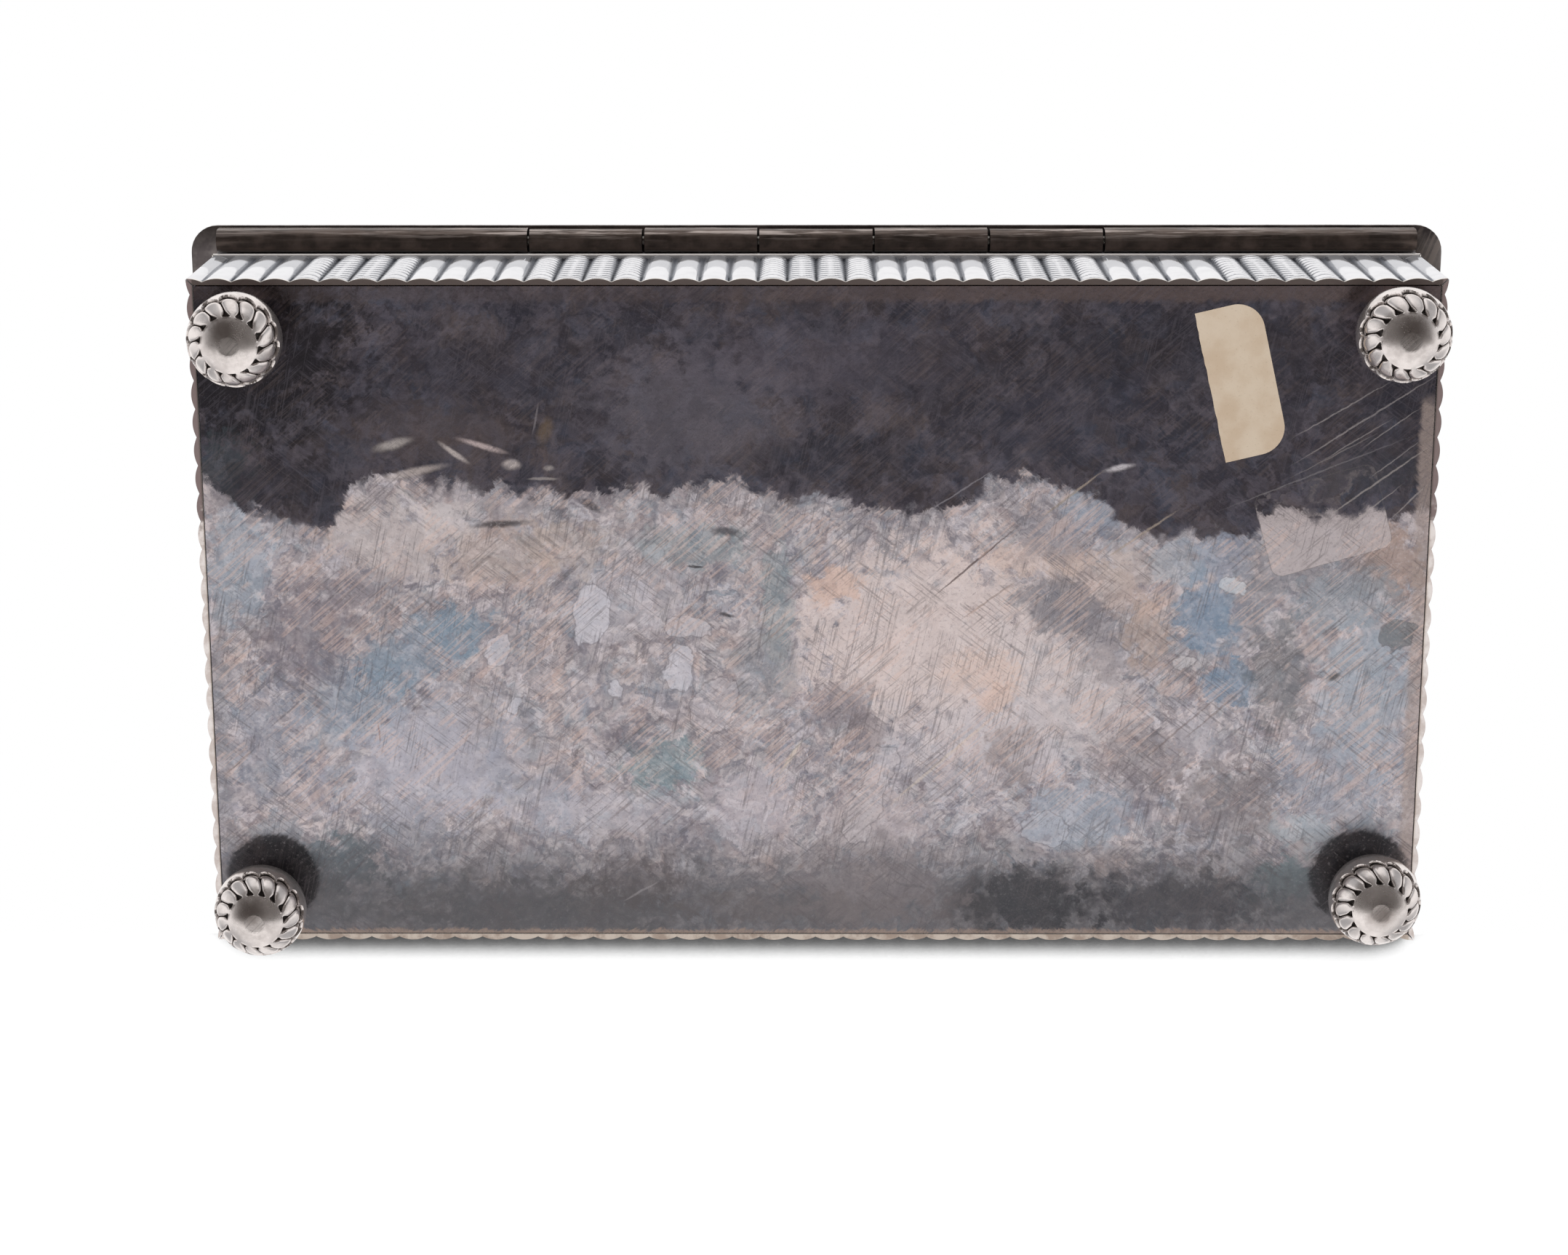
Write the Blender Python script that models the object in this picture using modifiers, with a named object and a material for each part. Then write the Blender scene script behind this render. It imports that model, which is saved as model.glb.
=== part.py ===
"""Silver keepsake box with fluted walls, swirl-lobed bun feet and a hinged lid.

The box stands on its four feet at z = 0. +X is its length and +Y points to the
hinge side. Every size is in metres.
"""

import math

import bmesh
import bpy

# Case
BODY_LENGTH = 0.2000
BODY_DEPTH = 0.1112
CASE_HEIGHT = 0.0289
WALL_THICKNESS = 0.0010
BASE_THICKNESS = 0.0010
RIM_HEIGHT = 0.0020

# Flutes of the walls, counted without the half flute at each corner
LONG_FLUTES = 42
SHORT_FLUTES = 23
FLUTE_DEPTH = 0.00055
CORNER_FLUTE_SHARE = 0.55
FLUTE_STEPS = 5

# Bun feet
FOOT_HEIGHT = 0.0140
FOOT_RADIUS = 0.0075
FOOT_FLAT_RADIUS = 0.0015
FOOT_NECK_RADIUS = 0.0042
FOOT_NECK_HEIGHT = 0.0012
FOOT_WAIST_SHARE = 0.46
FRONT_LEFT_FOOT_INSET = (0.0084, 0.0099)
FRONT_RIGHT_FOOT_INSET = (0.0087, 0.0079)
BACK_LEFT_FOOT_INSET = (0.0081, 0.0077)
BACK_RIGHT_FOOT_INSET = (0.0087, 0.0084)
FRONT_FOOT_LOBES = 15
BACK_FOOT_LOBES = 14
LOBE_COLUMNS = 4
LOBE_GROOVE_DEPTH = 0.0009
LOBE_INNER_ANGLE = math.radians(34)
LOBE_NOTCH_ANGLE = math.radians(64)
LOBE_ARCH_ANGLE = math.radians(82)
LOBE_SWIRL_SHARE = 0.9
LOWER_ROWS = 10
UPPER_ROWS = 3

# Wooden lining
LINING_THICKNESS = 0.0020
LINING_LIP = 0.0009
DIVIDER_THICKNESS = 0.0018
DIVIDER_DROP = 0.0040

# Lid
LID_OVERHANG = 0.0044
LID_HEIGHT = 0.0036
LID_CORNER_RADIUS = 0.0045
LID_EDGE_BAND = 0.0008
LID_PANEL_THICKNESS = 0.0012
LID_PANEL_RISE = 0.0003
LID_LINING_THICKNESS = 0.0015
LID_LIP_CLEARANCE = 0.0006
LID_CORNER_STEPS = 8
LID_EDGE_SEGMENTS = 4
PANEL_EDGE_RADIUS = 0.00025
PANEL_EDGE_SEGMENTS = 2

# Hinge along the back
HINGE_KNUCKLES = 5
KNUCKLE_LENGTH = 0.0191
BARREL_END_INSET = 0.0005
BARREL_SETBACK = 0.0003
PIN_DIAMETER = 0.0014
PIN_END_INSET = 0.0006
BARREL_SIDES = 24
LID_OPEN_ANGLE = math.radians(100)

# Clearances
SEAT_GAP = 0.0003
MITRE_GAP = 0.0002
RUNNING_GAP = 0.0003
WELD_DISTANCE = 0.00001
CUT_OVERRUN = 0.0010
SHARP_ANGLE = math.radians(35)
FLAT_ANGLE_LIMIT = math.radians(1)

# Heights worked out from the sizes above
CASE_BOTTOM = FOOT_HEIGHT
CASE_TOP = CASE_BOTTOM + CASE_HEIGHT
WALL_TOP = CASE_TOP - RIM_HEIGHT - MITRE_GAP
FLOOR_BOTTOM = CASE_BOTTOM + BASE_THICKNESS + SEAT_GAP
FLOOR_TOP = FLOOR_BOTTOM + LINING_THICKNESS
LIP_TOP = CASE_TOP + LINING_LIP
LID_BOTTOM = CASE_TOP + SEAT_GAP
LID_TOP = LID_BOTTOM + LID_HEIGHT
PANEL_BOTTOM = LID_TOP + LID_PANEL_RISE - LID_PANEL_THICKNESS

# Widths worked out from the sizes above
LINING_LENGTH = BODY_LENGTH - 2 * (WALL_THICKNESS + SEAT_GAP)
LINING_DEPTH = BODY_DEPTH - 2 * (WALL_THICKNESS + SEAT_GAP)
LID_OPENING_LENGTH = LINING_LENGTH + 2 * LID_LIP_CLEARANCE
LID_OPENING_DEPTH = LINING_DEPTH + 2 * LID_LIP_CLEARANCE

# The barrel fills the overhang behind the back wall, less its gap and setback
BARREL_RADIUS = (LID_OVERHANG - RUNNING_GAP - BARREL_SETBACK) / 2
BARREL_LENGTH = BODY_LENGTH - 2 * BARREL_END_INSET
AXIS_Y = BODY_DEPTH / 2 + RUNNING_GAP + BARREL_RADIUS
AXIS_Z = LID_BOTTOM - RUNNING_GAP - BARREL_RADIUS

BACK_ANGLE = 0.0
LEFT_ANGLE = math.pi / 2
FRONT_ANGLE = math.pi
RIGHT_ANGLE = -math.pi / 2


def clear_scene():
    for old in list(bpy.data.objects):
        bpy.data.objects.remove(old)


def new_collection(name):
    collection = bpy.data.collections.new(name)
    bpy.context.scene.collection.children.link(collection)
    return collection


def new_material(name, color, roughness, metallic):
    material = bpy.data.materials.new(name)
    material.use_nodes = True
    shader = material.node_tree.nodes["Principled BSDF"]
    shader.inputs["Base Color"].default_value = (*color, 1.0)
    shader.inputs["Roughness"].default_value = roughness
    shader.inputs["Metallic"].default_value = metallic
    return material


clear_scene()
box_parts = new_collection("silver_keepsake_box")
box_cutters = new_collection("silver_keepsake_box_cutters")

silver_wall = new_material("polished_fluted_silver", (0.86, 0.85, 0.83), 0.18, 1.0)
silver_base = new_material("tarnished_base_silver", (0.42, 0.41, 0.43), 0.34, 1.0)
silver_foot = new_material("cast_foot_silver", (0.82, 0.80, 0.78), 0.20, 1.0)
silver_lid = new_material("worn_lid_silver", (0.72, 0.69, 0.66), 0.26, 1.0)
silver_hinge = new_material("brown_hinge_silver", (0.45, 0.40, 0.37), 0.34, 1.0)
cedar = new_material("cedar_lining", (0.45, 0.24, 0.13), 0.62, 0.0)


def add_object(name, mesh, material):
    """Wrap a mesh as one sub-part with its own material."""
    mesh.name = name
    mesh.materials.clear()
    mesh.materials.append(material)
    part = bpy.data.objects.new(name, mesh)
    box_parts.objects.link(part)
    return part


def place(part, location, rotation=(0.0, 0.0, 0.0), carrier=None):
    """Set a part's place in the world, under the empty that carries it."""
    part.location = location
    part.rotation_euler = rotation
    if carrier is not None:
        part.parent = carrier
        part.location = [place_w - place_c for place_w, place_c in zip(location, carrier.location)]
    return part


def mesh_from_object(source):
    """Evaluate an object, weld what touches and remove the source."""
    bpy.context.view_layer.update()
    evaluated = source.evaluated_get(bpy.context.evaluated_depsgraph_get())
    mesh = bpy.data.meshes.new_from_object(evaluated)
    bpy.data.objects.remove(source)
    welded = bmesh.new()
    welded.from_mesh(mesh)
    bmesh.ops.remove_doubles(welded, verts=welded.verts, dist=WELD_DISTANCE)
    welded.to_mesh(mesh)
    welded.free()
    return mesh


def outline_mesh(name, outlines, thickness):
    """Fill flat outlines in the XY plane and thicken them about it."""
    curve = bpy.data.curves.new(name, "CURVE")
    curve.dimensions = "2D"
    curve.fill_mode = "BOTH"
    curve.extrude = thickness / 2
    for outline in outlines:
        spline = curve.splines.new("POLY")
        spline.points.add(len(outline) - 1)
        for point, (x, y) in zip(spline.points, outline):
            point.co = (x, y, 0.0, 1.0)
        spline.use_cyclic_u = True
    outline_object = bpy.data.objects.new(name, curve)
    box_parts.objects.link(outline_object)
    return mesh_from_object(outline_object)


def block(name, size, centre, material, carrier=None):
    """Make a rectangular board or plate."""
    mesh = bpy.data.meshes.new(name)
    cube = bmesh.new()
    bmesh.ops.create_cube(cube, size=1.0)
    bmesh.ops.scale(cube, vec=size, verts=cube.verts)
    cube.to_mesh(mesh)
    cube.free()
    return place(add_object(name, mesh, material), centre, carrier=carrier)


def soften_edges(part, radius, segments, weighted=False):
    bevel = part.modifiers.new("soft_edges", "BEVEL")
    bevel.width = radius
    bevel.segments = segments
    bevel.limit_method = "WEIGHT" if weighted else "ANGLE"
    return part


def smooth_round(mesh):
    mesh.shade_smooth()
    mesh.set_sharp_from_angle(angle=SHARP_ANGLE)


# Walls, rim and lining go round the box as four mitred strips each

def flute_edge(length, flutes):
    """Outer edge of a fluted wall: shallow arcs that meet in sharp cusps.

    A half flute ends each side, so that two walls close a corner as one flute.
    """
    pitch = length / (flutes + 2 * CORNER_FLUTE_SHARE)
    corner = CORNER_FLUTE_SHARE * pitch
    first_cusp = corner - length / 2
    edge = []
    for step in range(FLUTE_STEPS):
        rise = step / FLUTE_STEPS
        edge.append((rise * corner - length / 2, -FLUTE_DEPTH * rise ** 2))
    for flute in range(flutes):
        for step in range(FLUTE_STEPS):
            across = step / FLUTE_STEPS
            along = first_cusp + (flute + across) * pitch
            edge.append((along, -FLUTE_DEPTH * (2 * across - 1) ** 2))
    for step in range(FLUTE_STEPS + 1):
        rise = step / FLUTE_STEPS
        edge.append((length / 2 - corner * (1 - rise), -FLUTE_DEPTH * (1 - rise) ** 2))
    return edge


def plain_edge(length):
    return [(-length / 2, 0.0), (length / 2, 0.0)]


def mitred_outline(edge, length, thickness):
    """Plan of a strip: its outer edge, and a straight inner edge between mitres."""
    end = length / 2 - MITRE_GAP / math.sqrt(2)
    outer = [(max(-end, min(end, along)), out) for along, out in edge]
    return outer + [(end - thickness, -thickness), (thickness - end, -thickness)]


def strip(name, edge, length, thickness, reach, bottom, top, angle, material):
    """A mitred strip whose outer face lies a given reach from the centre."""
    outline = mitred_outline(edge, length, thickness)
    mesh = outline_mesh(name, [outline], top - bottom)
    part = add_object(name, mesh, material)
    centre = (-reach * math.sin(angle), reach * math.cos(angle), (bottom + top) / 2)
    return place(part, centre, (0.0, 0.0, angle))


def four_strips(suffix, length, depth, thickness, bottom, top, material, flutes=None):
    """Strips for the front, back, left and right of a frame."""
    sides = (
        ("front", length, depth / 2, FRONT_ANGLE, LONG_FLUTES),
        ("back", length, depth / 2, BACK_ANGLE, LONG_FLUTES),
        ("left", depth, length / 2, LEFT_ANGLE, SHORT_FLUTES),
        ("right", depth, length / 2, RIGHT_ANGLE, SHORT_FLUTES),
    )
    for side, run, reach, angle, count in sides:
        edge = flute_edge(run, count) if flutes else plain_edge(run)
        strip(side + suffix, edge, run, thickness, reach, bottom, top, angle, material)


def make_case():
    four_strips("_wall", BODY_LENGTH, BODY_DEPTH, WALL_THICKNESS, CASE_BOTTOM, WALL_TOP,
                silver_wall, flutes=True)
    four_strips("_rim", BODY_LENGTH, BODY_DEPTH, WALL_THICKNESS, CASE_TOP - RIM_HEIGHT, CASE_TOP,
                silver_wall)
    plate_inset = 2 * (WALL_THICKNESS + MITRE_GAP)
    plate_size = (BODY_LENGTH - plate_inset, BODY_DEPTH - plate_inset, BASE_THICKNESS)
    plate_centre = (0.0, 0.0, CASE_BOTTOM + BASE_THICKNESS / 2)
    block("base_plate", plate_size, plate_centre, silver_base)


def make_lining():
    floor_size = (LINING_LENGTH, LINING_DEPTH, LINING_THICKNESS)
    block("lining_floor", floor_size, (0.0, 0.0, FLOOR_BOTTOM + LINING_THICKNESS / 2), cedar)
    side_bottom = FLOOR_TOP + SEAT_GAP
    four_strips("_lining", LINING_LENGTH, LINING_DEPTH, LINING_THICKNESS, side_bottom, LIP_TOP,
                cedar)
    divider_span = LINING_DEPTH - 2 * (LINING_THICKNESS + SEAT_GAP)
    divider_top = CASE_TOP - DIVIDER_DROP
    divider_size = (DIVIDER_THICKNESS, divider_span, divider_top - side_bottom)
    block("divider", divider_size, (0.0, 0.0, (side_bottom + divider_top) / 2), cedar)


# Feet: a turned bun whose lower half carries a ring of swirled lobes

FOOT_TOP = FOOT_HEIGHT - SEAT_GAP
FOOT_WAIST = FOOT_WAIST_SHARE * FOOT_HEIGHT
FLAT_ANGLE = math.asin(FOOT_FLAT_RADIUS / FOOT_RADIUS)
NECK_ANGLE = math.pi - math.asin(FOOT_NECK_RADIUS / FOOT_RADIUS)
LOWER_HEIGHT = FOOT_WAIST / math.cos(FLAT_ANGLE)
UPPER_HEIGHT = (FOOT_TOP - FOOT_NECK_HEIGHT - FOOT_WAIST) / -math.cos(NECK_ANGLE)


def bun_point(angle):
    """Radius and height of the bun at an angle from its lowest point."""
    half_height = LOWER_HEIGHT if angle < math.pi / 2 else UPPER_HEIGHT
    return FOOT_RADIUS * math.sin(angle), FOOT_WAIST - half_height * math.cos(angle)


def foot_profile():
    """Outline from the top centre down to the worn flat."""
    profile = [(0.0, FOOT_TOP), (FOOT_NECK_RADIUS, FOOT_TOP)]
    for row in range(UPPER_ROWS):
        share = row / UPPER_ROWS
        profile.append(bun_point(NECK_ANGLE + share * (math.pi / 2 - NECK_ANGLE)))
    for row in range(LOWER_ROWS + 1):
        share = row / LOWER_ROWS
        profile.append(bun_point(math.pi / 2 + share * (FLAT_ANGLE - math.pi / 2)))
    profile.append((0.0, 0.0))
    return profile


def turned_mesh(name, profile, sides):
    """Turn a profile about Z with the Screw modifier."""
    rail = bpy.data.meshes.new(name)
    points = [(radius, 0.0, height) for radius, height in profile]
    rail.from_pydata(points, [(at, at + 1) for at in range(len(points) - 1)], [])
    lathe = bpy.data.objects.new(name, rail)
    box_parts.objects.link(lathe)
    screw = lathe.modifiers.new("turn", "SCREW")
    screw.axis = "Z"
    screw.steps = sides
    screw.render_steps = sides
    screw.use_merge_vertices = True
    screw.merge_threshold = WELD_DISTANCE
    return mesh_from_object(lathe)


def groove_share(angle, across):
    """How deep the carving is, from 0 to 1.

    angle is measured from the lowest point, and across runs from 0 in the
    groove between two lobes to 0.5 on a lobe's crest.
    """
    if angle < LOBE_INNER_ANGLE or angle > math.pi / 2:
        return 0.0
    arch_rise = (LOBE_ARCH_ANGLE - LOBE_NOTCH_ANGLE) * math.sin(math.pi * across)
    edge_angle = LOBE_NOTCH_ANGLE + arch_rise
    row_step = (math.pi / 2 - FLAT_ANGLE) / LOWER_ROWS
    crescent = math.exp(-(((angle - edge_angle) / row_step) ** 2))
    if across > 0.0 or angle > edge_angle:
        return crescent
    return 1.0


def carve_lobes(mesh, lobes):
    """Twist the lower rows into a swirl and sink the grooves between the lobes."""
    columns = lobes * LOBE_COLUMNS
    swirl = LOBE_SWIRL_SHARE * 2 * math.pi / lobes
    for vertex in mesh.vertices:
        x, y, z = vertex.co
        radius = math.hypot(x, y)
        if radius < WELD_DISTANCE or z > FOOT_WAIST:
            continue
        angle = math.atan2(radius / FOOT_RADIUS, (FOOT_WAIST - z) / LOWER_HEIGHT)
        azimuth = math.atan2(y, x)
        column = round(azimuth / (2 * math.pi) * columns) % LOBE_COLUMNS
        across = min(column, LOBE_COLUMNS - column) / LOBE_COLUMNS
        sunk = LOBE_GROOVE_DEPTH * groove_share(angle, across)
        keep = 1 - sunk / math.hypot(radius, FOOT_WAIST - z)
        inward = (math.pi / 2 - angle) / (math.pi / 2 - LOBE_INNER_ANGLE)
        azimuth += swirl * min(1.0, max(0.0, inward))
        radius *= keep
        height = FOOT_WAIST - (FOOT_WAIST - z) * keep
        vertex.co = (radius * math.cos(azimuth), radius * math.sin(azimuth), height)


def make_feet():
    """The feet were set by hand, so each has its own inset from its corner."""
    feet = (
        ("foot_front_left", -1, -1, FRONT_LEFT_FOOT_INSET, FRONT_FOOT_LOBES),
        ("foot_front_right", 1, -1, FRONT_RIGHT_FOOT_INSET, FRONT_FOOT_LOBES),
        ("foot_back_left", -1, 1, BACK_LEFT_FOOT_INSET, BACK_FOOT_LOBES),
        ("foot_back_right", 1, 1, BACK_RIGHT_FOOT_INSET, BACK_FOOT_LOBES),
    )
    for name, side_x, side_y, inset, lobes in feet:
        mesh = turned_mesh(name, foot_profile(), lobes * LOBE_COLUMNS)
        carve_lobes(mesh, lobes)
        smooth_round(mesh)
        foot_x = side_x * (BODY_LENGTH / 2 - inset[0])
        foot_y = side_y * (BODY_DEPTH / 2 - inset[1])
        place(add_object(name, mesh, silver_foot), (foot_x, foot_y, 0.0))


# Hinge: one barrel along the back, cut into knuckles for the case and the lid

def knuckle_section(leaf_side):
    """Round section whose upper quarter on one side is squared into a leaf."""
    round_sides = 3 * BARREL_SIDES // 4
    section = [(BARREL_RADIUS, BARREL_RADIUS)]
    for side in range(round_sides + 1):
        turn = (1 + 3 * side / round_sides) * math.pi / 2
        section.append((BARREL_RADIUS * math.cos(turn), BARREL_RADIUS * math.sin(turn)))
    return [(leaf_side * y, z) for y, z in section]


def bore_section():
    radius = PIN_DIAMETER / 2 + RUNNING_GAP
    turns = [2 * math.pi * side / BARREL_SIDES for side in range(BARREL_SIDES)]
    return [(radius * math.cos(turn), radius * math.sin(turn)) for turn in turns]


def knuckle(name, start, end, leaf_side, carrier=None):
    """A length of barrel with its bore, laid along X on the hinge axis."""
    mesh = outline_mesh(name, [knuckle_section(leaf_side), bore_section()], end - start)
    smooth_round(mesh)
    part = add_object(name, mesh, silver_hinge)
    centre = ((start + end) / 2, AXIS_Y, AXIS_Z)
    return place(part, centre, (math.pi / 2, 0.0, math.pi / 2), carrier)


def make_hinge(lid_hinge):
    """Knuckles alternate from the case to the lid, between two long lid barrels."""
    active_start = -HINGE_KNUCKLES * KNUCKLE_LENGTH / 2
    half_gap = RUNNING_GAP / 2
    for index in range(HINGE_KNUCKLES):
        start = active_start + index * KNUCKLE_LENGTH + half_gap
        end = start + KNUCKLE_LENGTH - RUNNING_GAP
        number = index // 2 + 1
        if index % 2 == 0:
            knuckle(f"case_knuckle_{number}", start, end, -1)
        else:
            knuckle(f"lid_knuckle_{number}", start, end, 1, lid_hinge)
    end_start = active_start - half_gap
    knuckle("lid_barrel_left", -BARREL_LENGTH / 2, end_start, 1, lid_hinge)
    knuckle("lid_barrel_right", -end_start, BARREL_LENGTH / 2, 1, lid_hinge)

    pin_length = BARREL_LENGTH - 2 * PIN_END_INSET
    pin_radius = PIN_DIAMETER / 2
    profile = [(0.0, pin_length / 2), (pin_radius, pin_length / 2),
               (pin_radius, -pin_length / 2), (0.0, -pin_length / 2)]
    mesh = turned_mesh("hinge_pin", profile, BARREL_SIDES)
    smooth_round(mesh)
    pin = add_object("hinge_pin", mesh, silver_hinge)
    place(pin, (0.0, AXIS_Y, AXIS_Z), (0.0, math.pi / 2, 0.0))


# Lid: a frame with a rounded edge, a panel let in from above and a wooden board

def rounded_rectangle(length, depth, radius, steps):
    outline = []
    for quarter in range(4):
        centre_x = (length / 2 - radius) * (1 if quarter in (0, 3) else -1)
        centre_y = (depth / 2 - radius) * (1 if quarter in (0, 1) else -1)
        for step in range(steps + 1):
            turn = (quarter + step / steps) * math.pi / 2
            outline.append((centre_x + radius * math.cos(turn), centre_y + radius * math.sin(turn)))
    return outline


def mark_outer_top(mesh):
    """Merge the flat caps, and weight the top edges for the bevel of the rim."""
    marked = bmesh.new()
    marked.from_mesh(mesh)
    bmesh.ops.dissolve_limit(marked, angle_limit=FLAT_ANGLE_LIMIT, verts=[], edges=marked.edges)
    weight = marked.edges.layers.float.new("bevel_weight_edge")
    for edge in marked.edges:
        if all(vertex.co.z > 0.0 for vertex in edge.verts):
            edge[weight] = 1.0
    marked.to_mesh(mesh)
    marked.free()


def cut_opening(part, name, size, centre, carrier):
    """Cut a rectangular opening with a hidden cutter."""
    cutter = block(name, size, centre, silver_lid, carrier)
    box_parts.objects.unlink(cutter)
    box_cutters.objects.link(cutter)
    cutter.hide_render = True
    cutter.display_type = "WIRE"
    opening = part.modifiers.new("opening", "BOOLEAN")
    opening.operation = "DIFFERENCE"
    opening.object = cutter
    opening.solver = "EXACT"


def make_lid(lid_hinge):
    length = BODY_LENGTH + 2 * LID_OVERHANG
    depth = BODY_DEPTH + 2 * LID_OVERHANG
    outer = rounded_rectangle(length, depth, LID_CORNER_RADIUS, LID_CORNER_STEPS)
    mesh = outline_mesh("lid_frame", [outer], LID_HEIGHT)
    mark_outer_top(mesh)
    smooth_round(mesh)
    frame = add_object("lid_frame", mesh, silver_lid)
    frame_centre = (0.0, 0.0, (LID_BOTTOM + LID_TOP) / 2)
    place(frame, frame_centre, carrier=lid_hinge)
    soften_edges(frame, LID_HEIGHT - LID_EDGE_BAND, LID_EDGE_SEGMENTS, weighted=True)
    opening_size = (LID_OPENING_LENGTH, LID_OPENING_DEPTH, LID_HEIGHT + 2 * CUT_OVERRUN)
    cut_opening(frame, "lid_opening_cutter", opening_size, frame_centre, lid_hinge)

    panel_size = (LID_OPENING_LENGTH - 2 * MITRE_GAP, LID_OPENING_DEPTH - 2 * MITRE_GAP,
                  LID_PANEL_THICKNESS)
    panel_centre = (0.0, 0.0, PANEL_BOTTOM + LID_PANEL_THICKNESS / 2)
    panel = block("lid_panel", panel_size, panel_centre, silver_lid, lid_hinge)
    soften_edges(panel, PANEL_EDGE_RADIUS, PANEL_EDGE_SEGMENTS)

    board_size = (LID_OPENING_LENGTH - 2 * SEAT_GAP, LID_OPENING_DEPTH - 2 * SEAT_GAP,
                  LID_LINING_THICKNESS)
    board_centre = (0.0, 0.0, PANEL_BOTTOM - SEAT_GAP - LID_LINING_THICKNESS / 2)
    block("lid_lining", board_size, board_centre, cedar, lid_hinge)


lid_hinge_empty = bpy.data.objects.new("lid_hinge_axis", None)
box_parts.objects.link(lid_hinge_empty)
lid_hinge_empty.location = (0.0, AXIS_Y, AXIS_Z)

make_case()
make_lining()
make_feet()
make_lid(lid_hinge_empty)
make_hinge(lid_hinge_empty)

print("box, closed:", round(LID_TOP + LID_PANEL_RISE, 4), "m high")
print("hinge axis at y, z:", round(AXIS_Y, 5), round(AXIS_Z, 5))
print("lid opens by", round(math.degrees(LID_OPEN_ANGLE)), "degrees")
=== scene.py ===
# %% [markdown]
# # A silver keepsake box, turned to show its underside
# The box is a low silver case on four lobed bun feet, with reeded walls, a hinged lid and a
# cedar lining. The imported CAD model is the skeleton, and every finish and fine shape is put
# around it here.

# %% Load the frame
import math

import bmesh
import bpy
import numpy as np
from mathutils import Matrix, Vector


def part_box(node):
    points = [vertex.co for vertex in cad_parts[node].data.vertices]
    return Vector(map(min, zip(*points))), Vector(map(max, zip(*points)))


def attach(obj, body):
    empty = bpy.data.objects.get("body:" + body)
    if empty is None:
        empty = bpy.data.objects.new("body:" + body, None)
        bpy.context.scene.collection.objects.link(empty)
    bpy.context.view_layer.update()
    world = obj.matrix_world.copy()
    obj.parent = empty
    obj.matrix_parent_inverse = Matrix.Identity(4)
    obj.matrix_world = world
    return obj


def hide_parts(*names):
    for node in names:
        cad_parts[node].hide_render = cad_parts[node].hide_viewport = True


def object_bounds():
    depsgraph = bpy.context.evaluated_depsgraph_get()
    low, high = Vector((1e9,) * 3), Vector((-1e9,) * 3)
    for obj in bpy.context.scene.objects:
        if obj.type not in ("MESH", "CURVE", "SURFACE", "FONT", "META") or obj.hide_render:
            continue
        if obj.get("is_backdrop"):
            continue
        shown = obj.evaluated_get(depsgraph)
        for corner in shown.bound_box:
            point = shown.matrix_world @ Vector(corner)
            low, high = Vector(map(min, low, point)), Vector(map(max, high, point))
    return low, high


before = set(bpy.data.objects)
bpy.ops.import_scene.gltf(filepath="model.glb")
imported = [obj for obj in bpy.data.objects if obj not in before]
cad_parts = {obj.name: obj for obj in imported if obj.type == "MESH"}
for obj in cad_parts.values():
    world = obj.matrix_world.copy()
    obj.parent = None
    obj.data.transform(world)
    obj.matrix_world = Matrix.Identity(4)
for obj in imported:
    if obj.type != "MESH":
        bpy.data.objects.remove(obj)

scene = bpy.context.scene
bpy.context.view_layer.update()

# %% [markdown]
# ## Camera
# The box stood on its front wall, so the camera looks at the base from below, a little from
# the hinge side. Its place and lens come from matching the base's corners, and a matrix of
# its right, up and backward directions sets the turn without any rounding of angles.

# %% Set the camera
def new_object(title, data):
    made = bpy.data.objects.new(title, data)
    scene.collection.objects.link(made)
    return made


view_forward = Vector((0.0058931, -0.2594827, 0.9657298))
view_up = Vector((0.0003746, 0.9657470, 0.2594851))
view_right = view_forward.cross(view_up)
camera_data = bpy.data.cameras.new("camera")
camera_data.sensor_width = 36.0
camera_data.lens = 73.81
camera_data.clip_start = 0.01
camera = new_object("camera", camera_data)
camera.matrix_world = Matrix((view_right, view_up, -view_forward)).transposed().to_4x4()
camera.location = (0.0021248, 0.1343275, -0.4916960)
scene.camera = camera
print("camera distance in mm:", round(camera.location.length * 1000))

# %% [markdown]
# ## Small helpers for node trees
# Every finish below is a tree of nodes. Short helpers keep the cells readable: one adds a node
# with its settings and inputs, some do sums, one fades a number softly from one value to
# another and one lays a colour over another. Each finds its tree from the sockets it is
# given, and a colour may be given by its screen code.

# %% Node helpers
def tint(code):
    """A screen colour such as c8b8a8 as the linear colour that nodes work in."""
    parts = [int(code[at:at + 2], 16) / 255 for at in (0, 2, 4)]
    linear = [p / 12.92 if p <= 0.04045 else ((p + 0.055) / 1.055) ** 2.4 for p in parts]
    return (*linear, 1.0)


def feed(socket, value):
    if isinstance(value, bpy.types.NodeSocket):
        socket.id_data.links.new(value, socket)
    else:
        socket.default_value = tint(value) if isinstance(value, str) else value


def node(kind, inputs=(), tree=None, **settings):
    for value in dict(inputs).values():
        if isinstance(value, bpy.types.NodeSocket):
            tree = value.id_data
    made = tree.nodes.new(kind)
    for setting, value in settings.items():
        setattr(made, setting, value)
    for socket, value in dict(inputs).items():
        feed(made.inputs[socket], value)
    return made


def sums(operation, *values):
    return node("ShaderNodeMath", dict(enumerate(values)), operation=operation).outputs[0]


def times(first, second):
    return sums("MULTIPLY", first, second)


def plus(first, second):
    return sums("ADD", first, second)


def minus(first, second):
    return sums("SUBTRACT", first, second)


def larger(first, second):
    return sums("MAXIMUM", first, second)


def scaled(value, by, added):
    return sums("MULTIPLY_ADD", value, by, added)


def shift(operation, *vectors):
    return node("ShaderNodeVectorMath", dict(enumerate(vectors)), operation=operation).outputs[0]


def measure(vector):
    return node("ShaderNodeVectorMath", {0: vector}, operation="LENGTH").outputs["Value"]


def split(vector):
    return node("ShaderNodeSeparateXYZ", {0: vector}).outputs


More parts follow.
